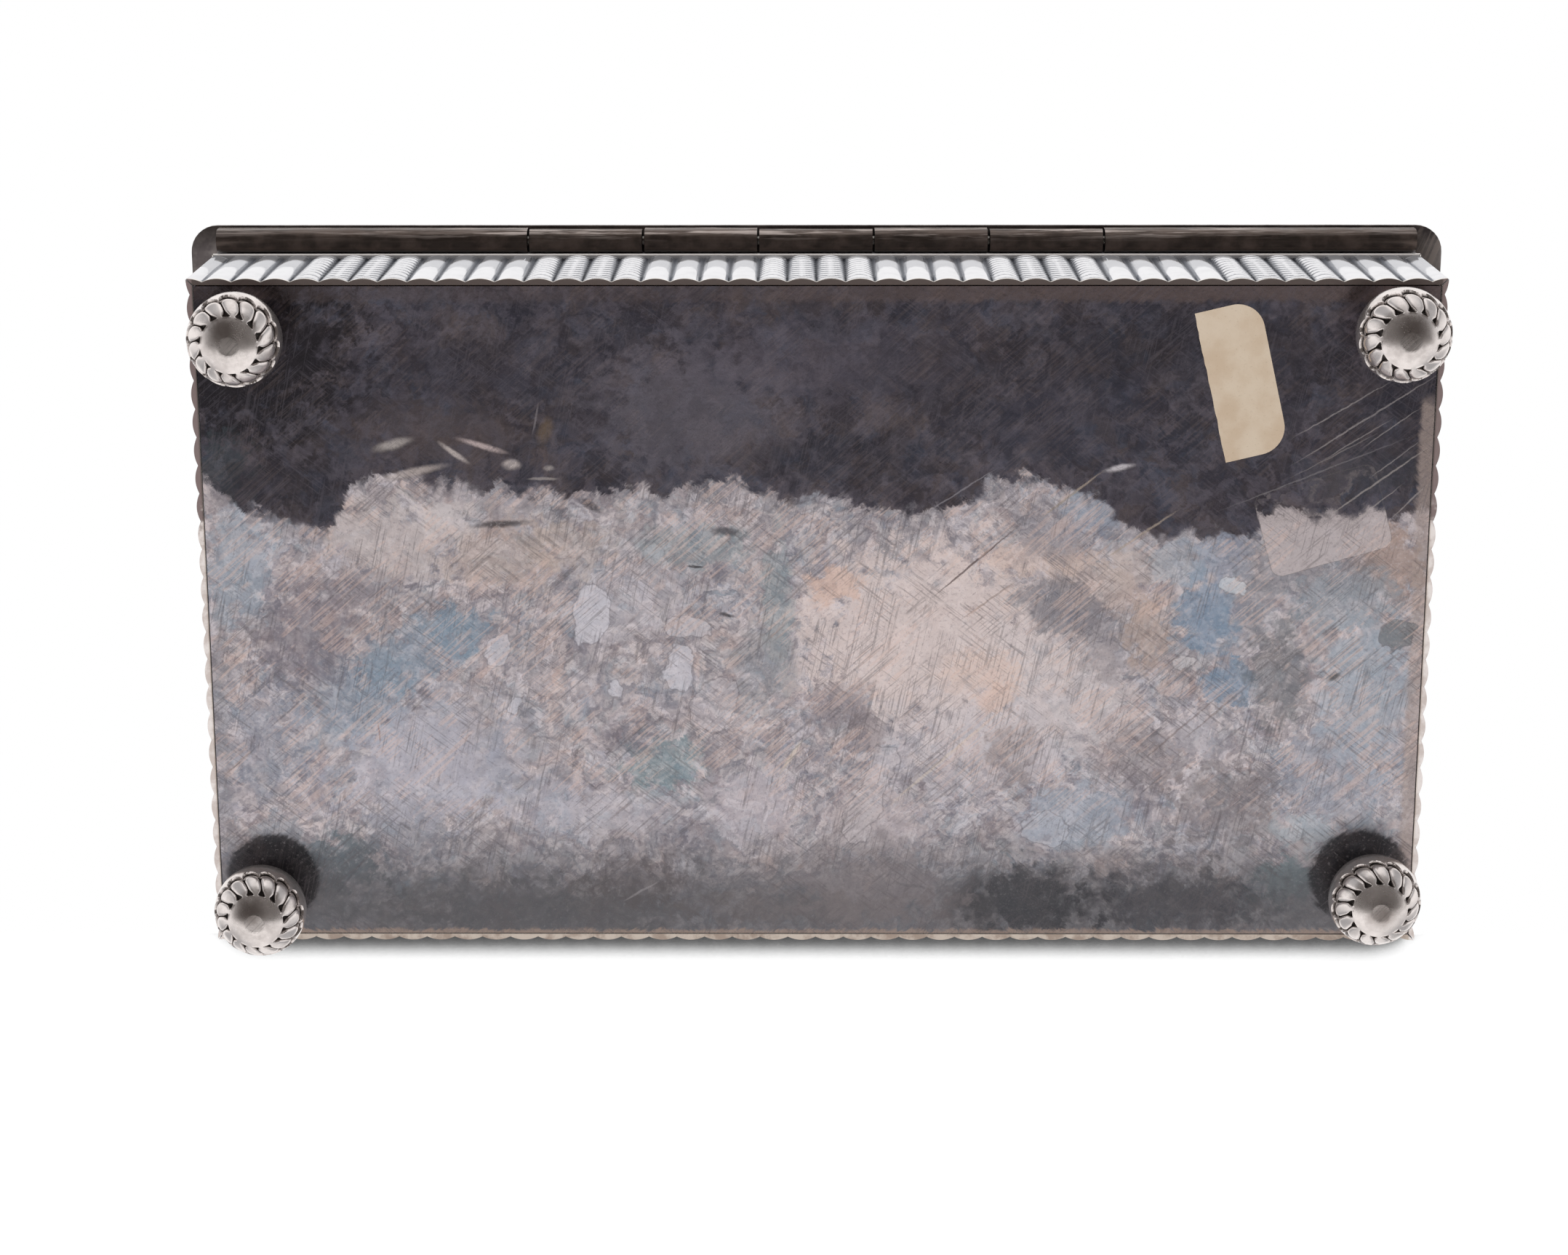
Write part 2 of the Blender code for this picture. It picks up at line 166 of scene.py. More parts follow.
def joined(parts):
    return node("ShaderNodeCombineXYZ", parts).outputs[0]


def rotated(vector, angle):
    """Turned about the Z axis."""
    turning = {"Vector": vector, "Angle": angle}
    return node("ShaderNodeVectorRotate", turning, rotation_type="Z_AXIS").outputs[0]


def noise(place, scale, detail, roughness=0.5, output=0):
    settings = {"Vector": place, "Scale": scale, "Detail": detail, "Roughness": roughness}
    return node("ShaderNodeTexNoise", settings).outputs[output]


def fade(value, start, end, low=0.0, high=1.0):
    """A soft step from low at start to high at end."""
    values = dict(enumerate((value, start, end, low, high)))
    return node("ShaderNodeMapRange", values, interpolation_type="SMOOTHSTEP").outputs[0]


def lay(share, under, over):
    """Lay one colour over another by a share."""
    return node("ShaderNodeMix", {0: share, 6: under, 7: over}, data_type="RGBA").outputs[2]


# %% [markdown]
# ## Stage
# The photograph has a white ground and a soft shadow just below the box. Two pale sheets
# carry the shadow: a floor under the feet for the views from above, and a backboard behind
# the lower edge for the view from below. Each is clear from its back, so that neither hides
# the box, and neither throws light or shade on it.

# %% Pale sheets
def pale_sheet(title, corners, reach, dark_at, clear_at, touch):
    """A sheet that is white but for a soft shadow where something is within reach."""
    mesh = bpy.data.meshes.new(title)
    mesh.from_pydata(corners, [], [(0, 1, 2, 3)])
    sheet = new_object(title, mesh)
    sheet.visible_shadow = sheet.visible_diffuse = False
    sheet.visible_glossy = sheet.visible_transmission = False
    material = bpy.data.materials.new(title)
    material.use_nodes = True
    tree = material.node_tree
    tree.nodes.clear()
    near = node("ShaderNodeAmbientOcclusion", {"Distance": reach}, tree, samples=20).outputs["AO"]
    touching = fade(near, touch - 0.13, touch, 0.05, 1.0)
    open_share = times(fade(near, dark_at, clear_at, 0.03, 0.98), touching)
    glow = node("ShaderNodeEmission", {"Strength": open_share})
    matt = node("ShaderNodeBsdfDiffuse", {"Color": (0.15, 0.15, 0.15, 1.0)}, tree)
    front = node("ShaderNodeAddShader", {0: glow.outputs[0], 1: matt.outputs[0]})
    back = node("ShaderNodeBsdfTransparent", tree=tree)
    side = node("ShaderNodeNewGeometry", tree=tree).outputs["Backfacing"]
    both = node("ShaderNodeMixShader", {0: side, 1: front.outputs[0], 2: back.outputs[0]})
    node("ShaderNodeOutputMaterial", {"Surface": both.outputs[0]})
    mesh.materials.append(material)
    sheet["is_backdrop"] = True


wide, board_height, board_edge = 2.0, 0.021, -0.0572
floor_corners = [(-wide, -wide, 0), (wide, -wide, 0), (wide, wide, 0), (-wide, wide, 0)]
pale_sheet("floor", floor_corners, 0.045, 0.15, 0.95, 0.13)
board_plan = ((-wide, -wide), (-wide, board_edge), (wide, board_edge), (wide, -wide))
board_corners = [(x, y, board_height) for x, y in board_plan]
pale_sheet("backboard", board_corners, 0.0095, 0.56, 0.96, 0.87)
print("backboard at height mm:", board_height * 1000)

# %% [markdown]
# ## Light
# The world is white to the camera. Polished silver shows what stands around it, so for
# reflections the world is a white room with darker corners, and with a dark ceiling beyond
# the camera, which fills the upper half of each dome. Matt surfaces get an even soft light,
# and three large soft lamps give the shadows.

# %% World
world = bpy.data.worlds.new("white_studio")
scene.world = world
world.use_nodes = True
tree = world.node_tree
tree.nodes.clear()
way = split(node("ShaderNodeTexCoord", tree=tree).outputs["Generated"])
around = sums("ARCTAN2", way[1], way[0])
bars = scaled(sums("COSINE", times(around, 4.0)), 0.36, 0.60)
steep = fade(sums("ABSOLUTE", way[2]), 0.28, 0.62)
room = larger(bars, steep)
reflected = lay(room, "6c7076", (1.0, 1.0, 1.0, 1.0))
steepness = larger(sums("ABSOLUTE", way[2]), 0.001)
rise = sums("DIVIDE", way[1], steepness)
aside = sums("DIVIDE", sums("ABSOLUTE", way[0]), steepness)
ceiling = times(fade(rise, -0.12, -0.02), fade(rise, 3.2, 2.0))
ceiling = times(ceiling, fade(aside, 2.4, 1.2))
ceiling = times(ceiling, fade(way[2], -0.10, -0.25))
reflected = lay(ceiling, reflected, "3f3834")
path = node("ShaderNodeLightPath", tree=tree)
mirrored = larger(path.outputs["Is Glossy Ray"], path.outputs["Is Transmission Ray"])
light = lay(mirrored, (0.62, 0.62, 0.62, 1.0), reflected)
light = lay(path.outputs["Is Camera Ray"], light, (1.0, 1.0, 1.0, 1.0))
background = node("ShaderNodeBackground", {"Color": light, "Strength": 1.0})
node("ShaderNodeOutputWorld", {"Surface": background.outputs[0]})


# %% Soft lamps
def soft_lamp(title, place, size, watts):
    data = bpy.data.lights.new(title, "AREA")
    data.shape = "DISK"
    data.size = size
    data.energy = watts
    lamp = new_object(title, data)
    lamp.location = place
    lamp.rotation_euler = (-Vector(place)).to_track_quat("-Z", "Y").to_euler()
    lamp.visible_glossy = False


soft_lamp("lamp_above_camera", (-0.10, 0.55, -0.85), 0.45, 3.6)
soft_lamp("lamp_left", (0.75, 0.25, -0.30), 0.60, 1.6)
soft_lamp("lamp_top", (-0.35, -0.45, 0.95), 0.60, 4.6)

# %% [markdown]
# ## Shared effects
# Old silver shows a few effects again and again: cloudy tarnish, fine hairlines from years
# of polishing, and black oxide left in the deep places. Each is a node group with named
# inputs, made once and placed in every finish that needs it.

# %% Group maker
def shader_group(title, inputs, outputs):
    tree = bpy.data.node_groups.new(title, "ShaderNodeTree")
    kinds = {"f": "NodeSocketFloat", "v": "NodeSocketVector", "c": "NodeSocketColor"}
    for name, kind, value in inputs:
        socket = tree.interface.new_socket(name, in_out="INPUT", socket_type=kinds[kind])
        if value is not None:
            socket.default_value = value
    for name, kind in outputs:
        tree.interface.new_socket(name, in_out="OUTPUT", socket_type=kinds[kind])
    return tree, node("NodeGroupInput", tree=tree).outputs, node("NodeGroupOutput", tree=tree).inputs


def use(group, **inputs):
    named = {name.replace("_", " ").capitalize(): value for name, value in inputs.items()}
    return node("ShaderNodeGroup", named, node_tree=group).outputs


def place_mm(tree):
    """Where a point of the piece is, in millimetres."""
    spot = node("ShaderNodeTexCoord", tree=tree).outputs["Object"]
    return shift("MULTIPLY", spot, (1000.0, 1000.0, 1000.0))


# %% Cloudy tarnish
clouds, given, result = shader_group("cloudy_tarnish", [("Place", "v", None), ("Size", "f", 5.0),
    ("Seed", "f", 0.0), ("Start", "f", 0.42), ("End", "f", 0.60)], [("Mask", "f")])
apart = joined({0: times(given["Seed"], 37.1), 1: times(given["Seed"], 53.7),
    2: times(given["Seed"], 19.3)})
grain = noise(shift("ADD", given["Place"], apart), sums("DIVIDE", 1.0, given["Size"]), 4.5, 0.62)
feed(result["Mask"], fade(grain, given["Start"], given["End"]))


def cloudy(place, size, seed, start, end):
    return use(clouds, place=place, size=size, seed=seed, start=start, end=end)["Mask"]


# %% [markdown]
# Hairlines are noise stretched far along one direction and cut off high, so that only thin
# broken strokes are left. The direction is an input, because polishing goes many ways.

# %% Hairlines
hairlines, given, result = shader_group("polishing_hairlines", [("Place", "v", None), ("Turn", "f", 0.0),
    ("Per mm", "f", 3.0), ("Stretch", "f", 0.05), ("Cut", "f", 0.62)], [("Mask", "f")])
turned = rotated(given["Place"], given["Turn"])
along = joined({0: times(given["Per mm"], given["Stretch"]), 1: given["Per mm"],
    2: times(given["Per mm"], given["Stretch"])})
strokes = noise(shift("MULTIPLY", turned, along), 1.0, 2.0, 0.6)
feed(result["Mask"], fade(strokes, given["Cut"], plus(given["Cut"], 0.07)))


def hairs(place, turn, per_mm, stretch, cut):
    return use(hairlines, place=place, turn=turn, per_mm=per_mm, stretch=stretch, cut=cut)["Mask"]


# %% [markdown]
# A bloom is one soft oval of colour, and a tablet is a rounded oblong with a crisp rim, such
# as the mark that a paper label leaves. Both take a place that has been bent by noise, which
# makes their edges ragged at no further cost.

# %% Blooms and tablets
def from_centre(given):
    """The place as seen from a turned centre."""
    return rotated(shift("SUBTRACT", given["Place"], given["Centre"]), times(given["Turn"], -1.0))


bloom, given, result = shader_group("soft_bloom", [("Place", "v", None), ("Centre", "v", None),
    ("Radii", "v", (1, 1, 1)), ("Turn", "f", 0.0), ("Edge", "f", 0.5), ("Wear", "f", 0.0)],
    [("Mask", "f")])
local = shift("MULTIPLY", shift("DIVIDE", from_centre(given), given["Radii"]), (1, 1, 0))
size = plus(measure(local), given["Wear"])
feed(result["Mask"], fade(size, plus(1.0, given["Edge"]), minus(1.0, given["Edge"])))

tablet, given, result = shader_group("label_tablet", [("Place", "v", None), ("Centre", "v", None),
    ("Half size", "v", (1, 1, 0)), ("Turn", "f", 0.0), ("Corner", "f", 1.0), ("Edge", "f", 0.1)],
    [("Mask", "f"), ("Rim", "f")])
local = shift("ABSOLUTE", from_centre(given))
corner = joined({0: given["Corner"], 1: given["Corner"]})
over = shift("ADD", shift("SUBTRACT", local, given["Half size"]), corner)
over = shift("MULTIPLY", shift("MAXIMUM", over, (0, 0, 0)), (1, 1, 0))
away = minus(measure(over), given["Corner"])
feed(result["Mask"], fade(away, given["Edge"], times(given["Edge"], -1.0)))
feed(result["Rim"], fade(sums("ABSOLUTE", away), given["Edge"], 0.0))

# %% [markdown]
# Oxide gathers where a cloth never reaches. The pieces below carry a number, recess, that is
# 0 on the crests and 1 in the deepest cuts, and this group turns it into colour and shine.

# %% Oxide in recesses
oxide, given, result = shader_group("oxide_in_recesses", [("Place", "v", None), ("Recess", "f", 0.0),
    ("Bright", "c", (0.9, 0.89, 0.87, 1)), ("Dull", "c", (0.5, 0.48, 0.46, 1)),
    ("Deep", "c", (0.03, 0.026, 0.024, 1)), ("Clouding", "f", 0.3), ("Shine", "f", 0.12)],
    [("Colour", "c"), ("Roughness", "f")])
haze = cloudy(given["Place"], 2.6, 3.0, 0.40, 0.70)
hazy = times(haze, given["Clouding"])
speck = cloudy(given["Place"], 0.5, 8.0, 0.3, 0.7)
ragged = plus(given["Recess"], scaled(speck, 0.16, -0.08))
deep = fade(ragged, 0.35, 0.90)
colour = lay(hazy, given["Bright"], given["Dull"])
colour = lay(fade(ragged, 0.10, 0.50, 0.0, 0.6), colour, given["Dull"])
feed(result["Colour"], lay(deep, colour, given["Deep"]))
matt = plus(times(hazy, 0.25), times(deep, 0.4))
feed(result["Roughness"], plus(matt, given["Shine"]))
print("shared effects:", [group.name for group in bpy.data.node_groups])

# %% [markdown]
# ## Finishes of the silver
# Four finishes cover the metal: bright reeded walls, cast feet, a worn lid and a brown,
# hardly ever cleaned hinge. Each starts from the same maker, which returns the material, its
# tree and the inputs of its shader.

# %% Material maker
def new_finish(title, metallic, roughness=None):
    material = bpy.data.materials.new(title)
    material.use_nodes = True
    shader = material.node_tree.nodes["Principled BSDF"]
    shader.inputs["Metallic"].default_value = metallic
    if roughness is not None:
        shader.inputs["Roughness"].default_value = roughness
    return material, material.node_tree, shader.inputs


def recess_of(tree):
    return node("ShaderNodeAttribute", tree=tree, attribute_name="recess").outputs["Fac"]


def bumped(height, millimetres, strength, lean=None):
    """Turn a height from 0 to 1 into a small relief, whose shading may lean to one side."""
    relief = {"Height": height, "Strength": strength, "Distance": millimetres / 1000}
    shaded = node("ShaderNodeBump", relief).outputs[0]
    return shaded if lean is None else shift("NORMALIZE", shift("ADD", shaded, lean))


# %% [markdown]
# The walls are the brightest silver. The lower half of every plain reed is rubbed a little
# rounder and catches the light in a white arch, and chased reeds catch it all the way up:
# the shading leans down there. Above the arch the plain reeds carry a painted shade, a
# grey-blue tint, and the bead at the top carries a painted warm highlight. Their narrow lower
# faces, which frame the base, are brown near the hinge and worn to pale metal towards the
# front, and the lower edge is rubbed white.

# %% Wall silver
wall_silver, tree, shader = new_finish("bright_reeded_silver", 0.62)
place = place_mm(tree)
axes = split(place)
aged = use(oxide, place=place, recess=recess_of(tree), bright="f6f5f7", dull="75777f", deep="25272e",
    clouding=0.08, shine=0.09)
chased = node("ShaderNodeAttribute", tree=tree, attribute_name="chased").outputs["Fac"]
streak_place = shift("MULTIPLY", place, (2.4, 2.4, 0.07))
streaks = noise(streak_place, 1.0, 3.0)
streaked = times(fade(streaks, 0.40, 0.62), fade(recess_of(tree), 0.02, 0.25))
streaked = times(streaked, fade(chased, 0.0, 1.0, 0.75, 0.15))
colour = lay(streaked, aged["Colour"], "61656f")
patches = cloudy(place, 3.0, 12.0, 0.40, 0.62)
towards_hinge = fade(scaled(patches, 4.0, axes[1]), 15.0, 21.0)
at_side = fade(sums("ABSOLUTE", axes[0]), 98.9, 99.3)
under_tone = lay(patches, "cdbfb3", "a8968a")
under_tone = lay(at_side, under_tone, lay(patches, "f4ebe7", "d8cbc5"))
browned = lay(at_side, "5c514d", "8a7977")
under_tone = lay(towards_hinge, under_tone, browned)
edge_low, edge_high = 14.03, 14.10
under = fade(axes[2], edge_high, edge_low)
colour = lay(under, colour, under_tone)
wear_and_sheen = times(fade(axes[2], 14.02, edge_high), fade(axes[2], 14.9, 14.3))
colour = lay(times(wear_and_sheen, 0.85), colour, "fbf3ea")
feed(shader["Roughness"], scaled(under, 0.3, aged["Roughness"]))
fine = noise(place, 1.4, 3.0)
facing = split(node("ShaderNodeNewGeometry", tree=tree).outputs["Normal"])
sideways = sums("MINIMUM", sums("ABSOLUTE", facing[0]), sums("ABSOLUTE", facing[1]))
arch = scaled(fine, 2.4, scaled(sums("POWER", sideways, 4.0), 320.0, axes[2]))
lit = fade(arch, 29.2, 26.4)
lit = larger(lit, times(chased, fade(sideways, 0.42, 0.30)))
lit = larger(lit, fade(axes[2], 38.96, 39.02, 0.0, 1.5))
above_base = fade(axes[2], edge_low, edge_high)
lean = joined({2: times(scaled(lit, -0.18, -0.20), above_base)})
# Painted shade: above the white arch the plain reeds are tinted a darker grey-blue.
shadowed = times(fade(lit, 0.0, 1.0, 0.44, 0.0), above_base)
colour = lay(shadowed, colour, "94969d")
# Painted highlight: the thin bead under the rim is tinted a warm white.
bead = times(fade(axes[2], 38.93, 38.98), fade(axes[2], 40.2, 39.6))
colour = lay(times(bead, 0.7), colour, "fbf3ec")
feed(shader["Base Color"], colour)
feed(shader["Normal"], bumped(fine, 0.04, 0.5, lean))

# %% [markdown]
# The feet are cast and then chased. Each one is worn flat and scuffed where it touches the
# table, which is the small flat at its lowest point. The domes are rubbed a little towards
# the hinge, so that their shading leans that way, and each dome carries a painted dark
# reflection, a soft dark spot a little towards the hinge.

# %% Foot silver
foot_silver, tree, shader = new_finish("chased_foot_silver", 0.90)
place = place_mm(tree)
axes = split(place)
aged = use(oxide, place=place, recess=recess_of(tree), bright="f2e9e5", dull="91847e", deep="2f2a28",
    clouding=0.28, shine=0.12)
worn = fade(axes[2], 0.07, 0.02)
scuffs = hairs(place, 0.8, 3.0, 0.05, 0.50)
blurred = cloudy(place, 1.2, 14.0, 0.35, 0.65)
wear_and_sheen = times(fade(axes[2], 0.9, 0.15), blurred)
colour = lay(times(wear_and_sheen, 0.35), aged["Colour"], "9b938f")
# Painted dark reflection: a soft dark spot on each dome, set 2 mm towards the hinge.
foot_low, foot_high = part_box("foot_back_left")
foot_middle = (foot_low + foot_high) * 500
outwards = minus(sums("ABSOLUTE", axes[0]), abs(foot_middle.x))
towards_hinge = times(sums("SIGN", axes[1]), minus(sums("ABSOLUTE", axes[1]), abs(foot_middle.y)))
from_dark_reflection = measure(joined({0: outwards, 1: minus(towards_hinge, 2.0)}))
from_dark_reflection = scaled(blurred, 0.8, from_dark_reflection)
dome = fade(axes[2], 2.4, 1.6)
colour = lay(times(dome, fade(from_dark_reflection, 3.6, 1.0, 0.0, 0.66)), colour, "74655f")
colour = lay(times(worn, 0.12), colour, "77736f")
colour = lay(times(times(worn, scuffs), 0.3), colour, "6a6663")
feed(shader["Base Color"], colour)
softer = fade(axes[2], 2.8, 1.4, 0.05, 0.14)
feed(shader["Roughness"], plus(aged["Roughness"], softer))
pits = noise(place, 0.7, 4.0)
lean = joined({1: fade(axes[2], 2.2, 0.9, 0.0, 0.13)})
feed(shader["Normal"], bumped(pits, 0.04, 0.4, lean))

# %% [markdown]
# The hinge tubes and the lid's underside have hardly been cleaned. They are nearly brown,
# with lighter, scratched metal at the lid's far corner. Along the tubes' outer side a painted
# highlight lays a lighter tone and pale lengthwise streaks, and the tubes' end faces carry a
# painted shade, near black.

# %% Hinge silver
hinge_silver, tree, shader = new_finish("brown_hinge_silver", 0.85)
place = place_mm(tree)
axes = split(place)
mottle = cloudy(place, 4.0, 21.0, 0.38, 0.66)
lengthwise = shift("MULTIPLY", place, (0.10, 1.8, 1.8))
drawn = noise(lengthwise, 1.0, 4.0)
colour = lay(mottle, "4e443f", "695b54")
# Painted highlight: the outer side of the tubes is lighter, with pale lengthwise streaks.
lit_tube_top = fade(axes[1], 57.6, 59.6)
wear_and_sheen = cloudy(lengthwise, 0.9, 27.0, 0.42, 0.60)
colour = lay(times(times(lit_tube_top, wear_and_sheen), 0.55), colour, "887b74")
bright_spots = cloudy(lengthwise, 1.3, 24.0, 0.50, 0.62)
streaky = times(bright_spots, lit_tube_top)
middle = fade(sums("ABSOLUTE", axes[0]), 78.0, 60.0, 0.35, 0.9)
colour = lay(times(streaky, middle), colour, "cdbfb8")
facing = split(node("ShaderNodeNewGeometry", tree=tree).outputs["Normal"])
# Painted shade: the tubes' end faces, in the gaps between knuckles, are made near black.
shaded_tube_end = fade(sums("ABSOLUTE", facing[0]), 0.3, 0.6)
colour = lay(shaded_tube_end, colour, "1d1917")
feed(shader["Base Color"], colour)
feed(shader["Roughness"], fade(mottle, 0.0, 1.0, 0.36, 0.50))
feed(shader["Normal"], bumped(drawn, 0.04, 0.6))

# %% Lid silver
lid_silver, tree, shader = new_finish("worn_lid_silver", 1.0)
place = place_mm(tree)
axes = split(place)
haze = cloudy(place, 16.0, 31.0, 0.38, 0.68)
fog = cloudy(place, 4.0, 35.0, 0.44, 0.70)
colour = lay(times(haze, 0.55), "dedbd9", "b3aca8")
colour = lay(times(fog, 0.30), colour, "a39c98")
lines_a = hairs(place, 0.35, 2.6, 0.03, 0.60)
lines_b = hairs(place, -0.95, 2.2, 0.03, 0.63)
lines = larger(lines_a, lines_b)
colour = lay(times(lines, 0.35), colour, "8f8985")
below = fade(axes[2], 43.75, 43.35)
mottle = cloudy(place, 5.0, 41.0, 0.40, 0.62)
brown = lay(mottle, "676060", "8a827f")
combed = hairs(place, 1.2, 1.6, 0.05, 0.47)
scratchy = times(fade(axes[0], -95.0, -100.0, 0.06, 1.0), combed)
brown = lay(times(scratchy, 0.75), brown, "a0958f")
colour = lay(below, colour, brown)
feed(shader["Base Color"], colour)
rough = plus(fade(haze, 0.0, 1.0, 0.16, 0.30), times(lines, 0.08))
feed(shader["Roughness"], scaled(below, 0.2, rough))
feed(shader["Normal"], bumped(lines, 0.02, -0.4))
print("silver finishes:", wall_silver.name, foot_silver.name, hinge_silver.name, lid_silver.name)

# %% [markdown]
# ## The base plate's tarnish and painted reflections
# The base is the largest thing in the view. Its upper third is blue-black, with a torn edge;
# this dark part is partly real tarnish and partly a painted dark reflection. Below it the
# metal is pale and mottled with lilac, tan, blue and teal, darker again along the front. The
# tree works in layers, as tarnish does: broad clouds first, then single blooms placed where
# the real plate has them, then drops, dents and scratches. The dents' light and shade are
# painted too.

# %% Base plate: places bent by noise
plate_silver, tree, shader = new_finish("tarnished_base_silver", 0.92)
place = place_mm(tree)


def bent(vector, amount, size, detail=4.0):
    """Small steps to either side, given by noise of a given size in mm."""
    wave = noise(vector, 1 / size, detail, 0.62, output=1)
    both_ways = shift("SUBTRACT", wave, (0.5, 0.5, 0.5))
    return shift("MULTIPLY", both_ways, (2 * amount, 2 * amount, 0.0))


brush_turn = cloudy(place, 26.0, 9.0, 0.46, 0.54)
brushed = rotated(place, scaled(brush_turn, -1.5, 0.72))
brushed = shift("MULTIPLY", brushed, (0.16, 1.5, 1.0))
gently = shift("ADD", place, bent(place, 0.8, 2.2))
gently = shift("ADD", gently, bent(brushed, 0.9, 1.0, 2.5))
loosely = shift("ADD", gently, bent(place, 2.2, 6.0))
widely = shift("ADD", loosely, bent(place, 5.0, 14.0))


def cloud(size, seed, start=0.46, end=0.57):
    return cloudy(widely, size, seed, start, end)


def add_clouds(colour, rows):
    """Lay clouds over a colour. A row gives size in mm, seed, strength and tint."""
    for size, seed, share, code in rows:
        colour = lay(times(cloud(size, seed), share), colour, code)
    return colour


# %% Base plate: clouds of the pale part
colour = lay(cloud(15.0, 1.0), "b0acb6", "d8c9c8")
colour = add_clouds(colour, ((9.0, 2.0, 0.55, "8b94a3"), (7.0, 3.0, 0.50, "c8aea5"),
    (5.0, 4.0, 0.45, "8f8389"), (5.0, 5.0, 0.45, "9fabb4"), (3.4, 6.0, 0.60, "ddd5da"),
    (2.6, 7.0, 0.55, "7d777e"), (1.5, 8.0, 0.50, "d4c8c8"), (1.1, 10.0, 0.42, "77727c")))

# %% [markdown]
# The single blooms are a table: middle and radii in mm, strength, tint and, where one lies
# askew, its turn in degrees. The tints are the few colours that silver sulphide goes through
# as it thickens. One noise wears the edges of all of them.

# %% Base plate: single blooms
wear = scaled(noise(gently, 0.45, 5.0, 0.68), 3.4, -1.7)


def oval(place, x, y, long, short, turn, edge, worn=0.0):
    """A bloom's mask, with its middle and radii in mm and its turn in degrees."""
    return use(bloom, place=place, centre=(x, y, 0.0), radii=(long, short, 1.0), turn=math.radians(turn),
        edge=edge, wear=worn)["Mask"]


def add_blooms(colour, rows, edge):
    for x, y, long, short, share, code, *turn in rows:
        mask = oval(loosely, x, y, long, short, sum(turn), edge, wear)
        colour = lay(times(mask, share), colour, code)
    return colour


pale, warm, tan_tone, blue, steel = "cfc8ce", "cdbcb4", "b8a092", "7391ab", "8499ab"
teal, ice, mauve, smoke, soot = "7b989e", "aab6c3", "756d76", "5a5a5d", "37363a"
blooms = ((-18, -4, 22, 15, 0.70, "ecdad5"), (-38, -12, 14, 12, 0.50, "ddd2d2"),
    (-24, -22, 14, 8, 0.40, pale), (60, -22, 14, 9, 0.50, "b6b4be", 10),
    (66, -6, 11, 5, 0.50, steel, -25), (76, -14, 9, 7, 0.45, steel, -30), (58, -2, 5, 4, 0.55, steel),
    (83, -3, 8, 9, 0.60, mauve), (94, 8, 5, 9, 0.50, ice), (90, -22, 7, 8, 0.4, "8f97a8"),
    (51, 11, 9, 6, 0.45, "cbb5a9"), (70, 13, 10, 6, 0.55, "d6c8c4", 20), (60, 16, 5, 3, 0.55, "ddd3d3"),
    (75, 5, 6, 4, 0.45, "8b8288"), (30, 4, 9, 8, 0.35, pale), (40, 12, 6, 4, 0.4, "c4b3a9"),
    (20, 12, 9, 3.5, 0.42, "8a9ca2"), (6, 2, 2.2, 11, 0.45, "8a9ca2"), (8, -8, 5, 6, 0.45, "868a90"),
    (25, -25, 6, 5, 0.50, teal), (17.5, -26, 1.4, 5, 0.50, mauve), (30, -20, 4, 3, 0.5, "6f6a74"),
    (-3, 6, 4, 3, 0.50, "dcb5a0"), (-30, -13.5, 3.0, 2.0, 0.45, "e2bfac"),
    (-27, -9, 6, 3.5, 0.45, "e2c6b8"), (-46, 6, 9, 5, 0.40, "dcc3b6", 20), (-36, 10, 8, 3, 0.4, "dfc5b8"),
    (-40, 2, 6, 4, 0.70, "74757f", 20), (-38, 14, 6, 4, 0.55, "8a8790"), (-48, -4, 5, 5, 0.50, "807b82"),
    (-54, -3, 4, 6, 0.50, tan_tone), (-52, 8, 6, 3, 0.40, warm), (-63.5, 0, 4.5, 6.5, 0.60, blue),
    (-66, 10, 5, 4, 0.45, "8798b0"), (-68, -11, 3.8, 4.0, 0.62, blue), (-58, 9, 5, 4, 0.40, ice),
    (-45, 18, 4, 4, 0.5, "8f9db0"), (-90, -12, 7, 13, 0.62, "a9b3bf"), (-85, -27, 9, 9, 0.45, "a4aab8"),
    (-75.5, -9, 4.5, 9, 0.60, "707276"), (-72, 3, 4, 4, 0.4, "8a8d96"), (-4, -15, 5, 4, 0.60, mauve),
    (-8, -20, 3, 4, 0.5, "7d7378"), (-33, -24, 4, 5, 0.55, "837675"), (-37.5, -24, 3.2, 3.2, 0.50, pale),
    (-55, -24, 7, 5, 0.55, "857b7e"), (-50, -33, 5, 3, 0.4, mauve), (-44, -34, 8, 6, 0.50, "a9b5c4"),
    (-68, -32, 9, 7, 0.55, "7b7374"), (-62, -20, 5, 4, 0.4, "b5b2bb"), (-78, -45, 5, 3.5, 0.65, teal),
    (-82, -37, 6, 3, 0.55, "bfc8d0", 15), (-92, -40, 4, 6, 0.5, "9aa6b2"),
    (79, -42, 6, 5, 0.70, "5c7079"), (68, -36, 6, 5, 0.45, "8a8d98"), (88, -38, 4, 4, 0.5, "aeb4be"),
    (52, -24, 1.8, 7, 0.35, "8d93a2"), (34, -33, 9, 4, 0.45, pale), (45, -32, 6, 5, 0.4, "bcb9c4"),
    (10, -32, 8, 6, 0.45, "cdc2c8"), (-10, -36, 8, 5, 0.45, "cfc0c0"), (66, -26, 12, 9, 0.4, "c3c1cd"),
    (22, -38, 6, 4, 0.4, mauve), (-93, 9, 5, 6, 0.65, "a98e80", -35), (-80, 8, 12, 5, 0.50, "8b8a90", 10),
    (-86, 3, 8, 5, 0.5, "9aa3ad"), (97.5, -24, 1.2, 30, 0.40, "8d8c92"))
colour = add_blooms(colour, blooms, 0.30)
print("single blooms:", len(blooms))

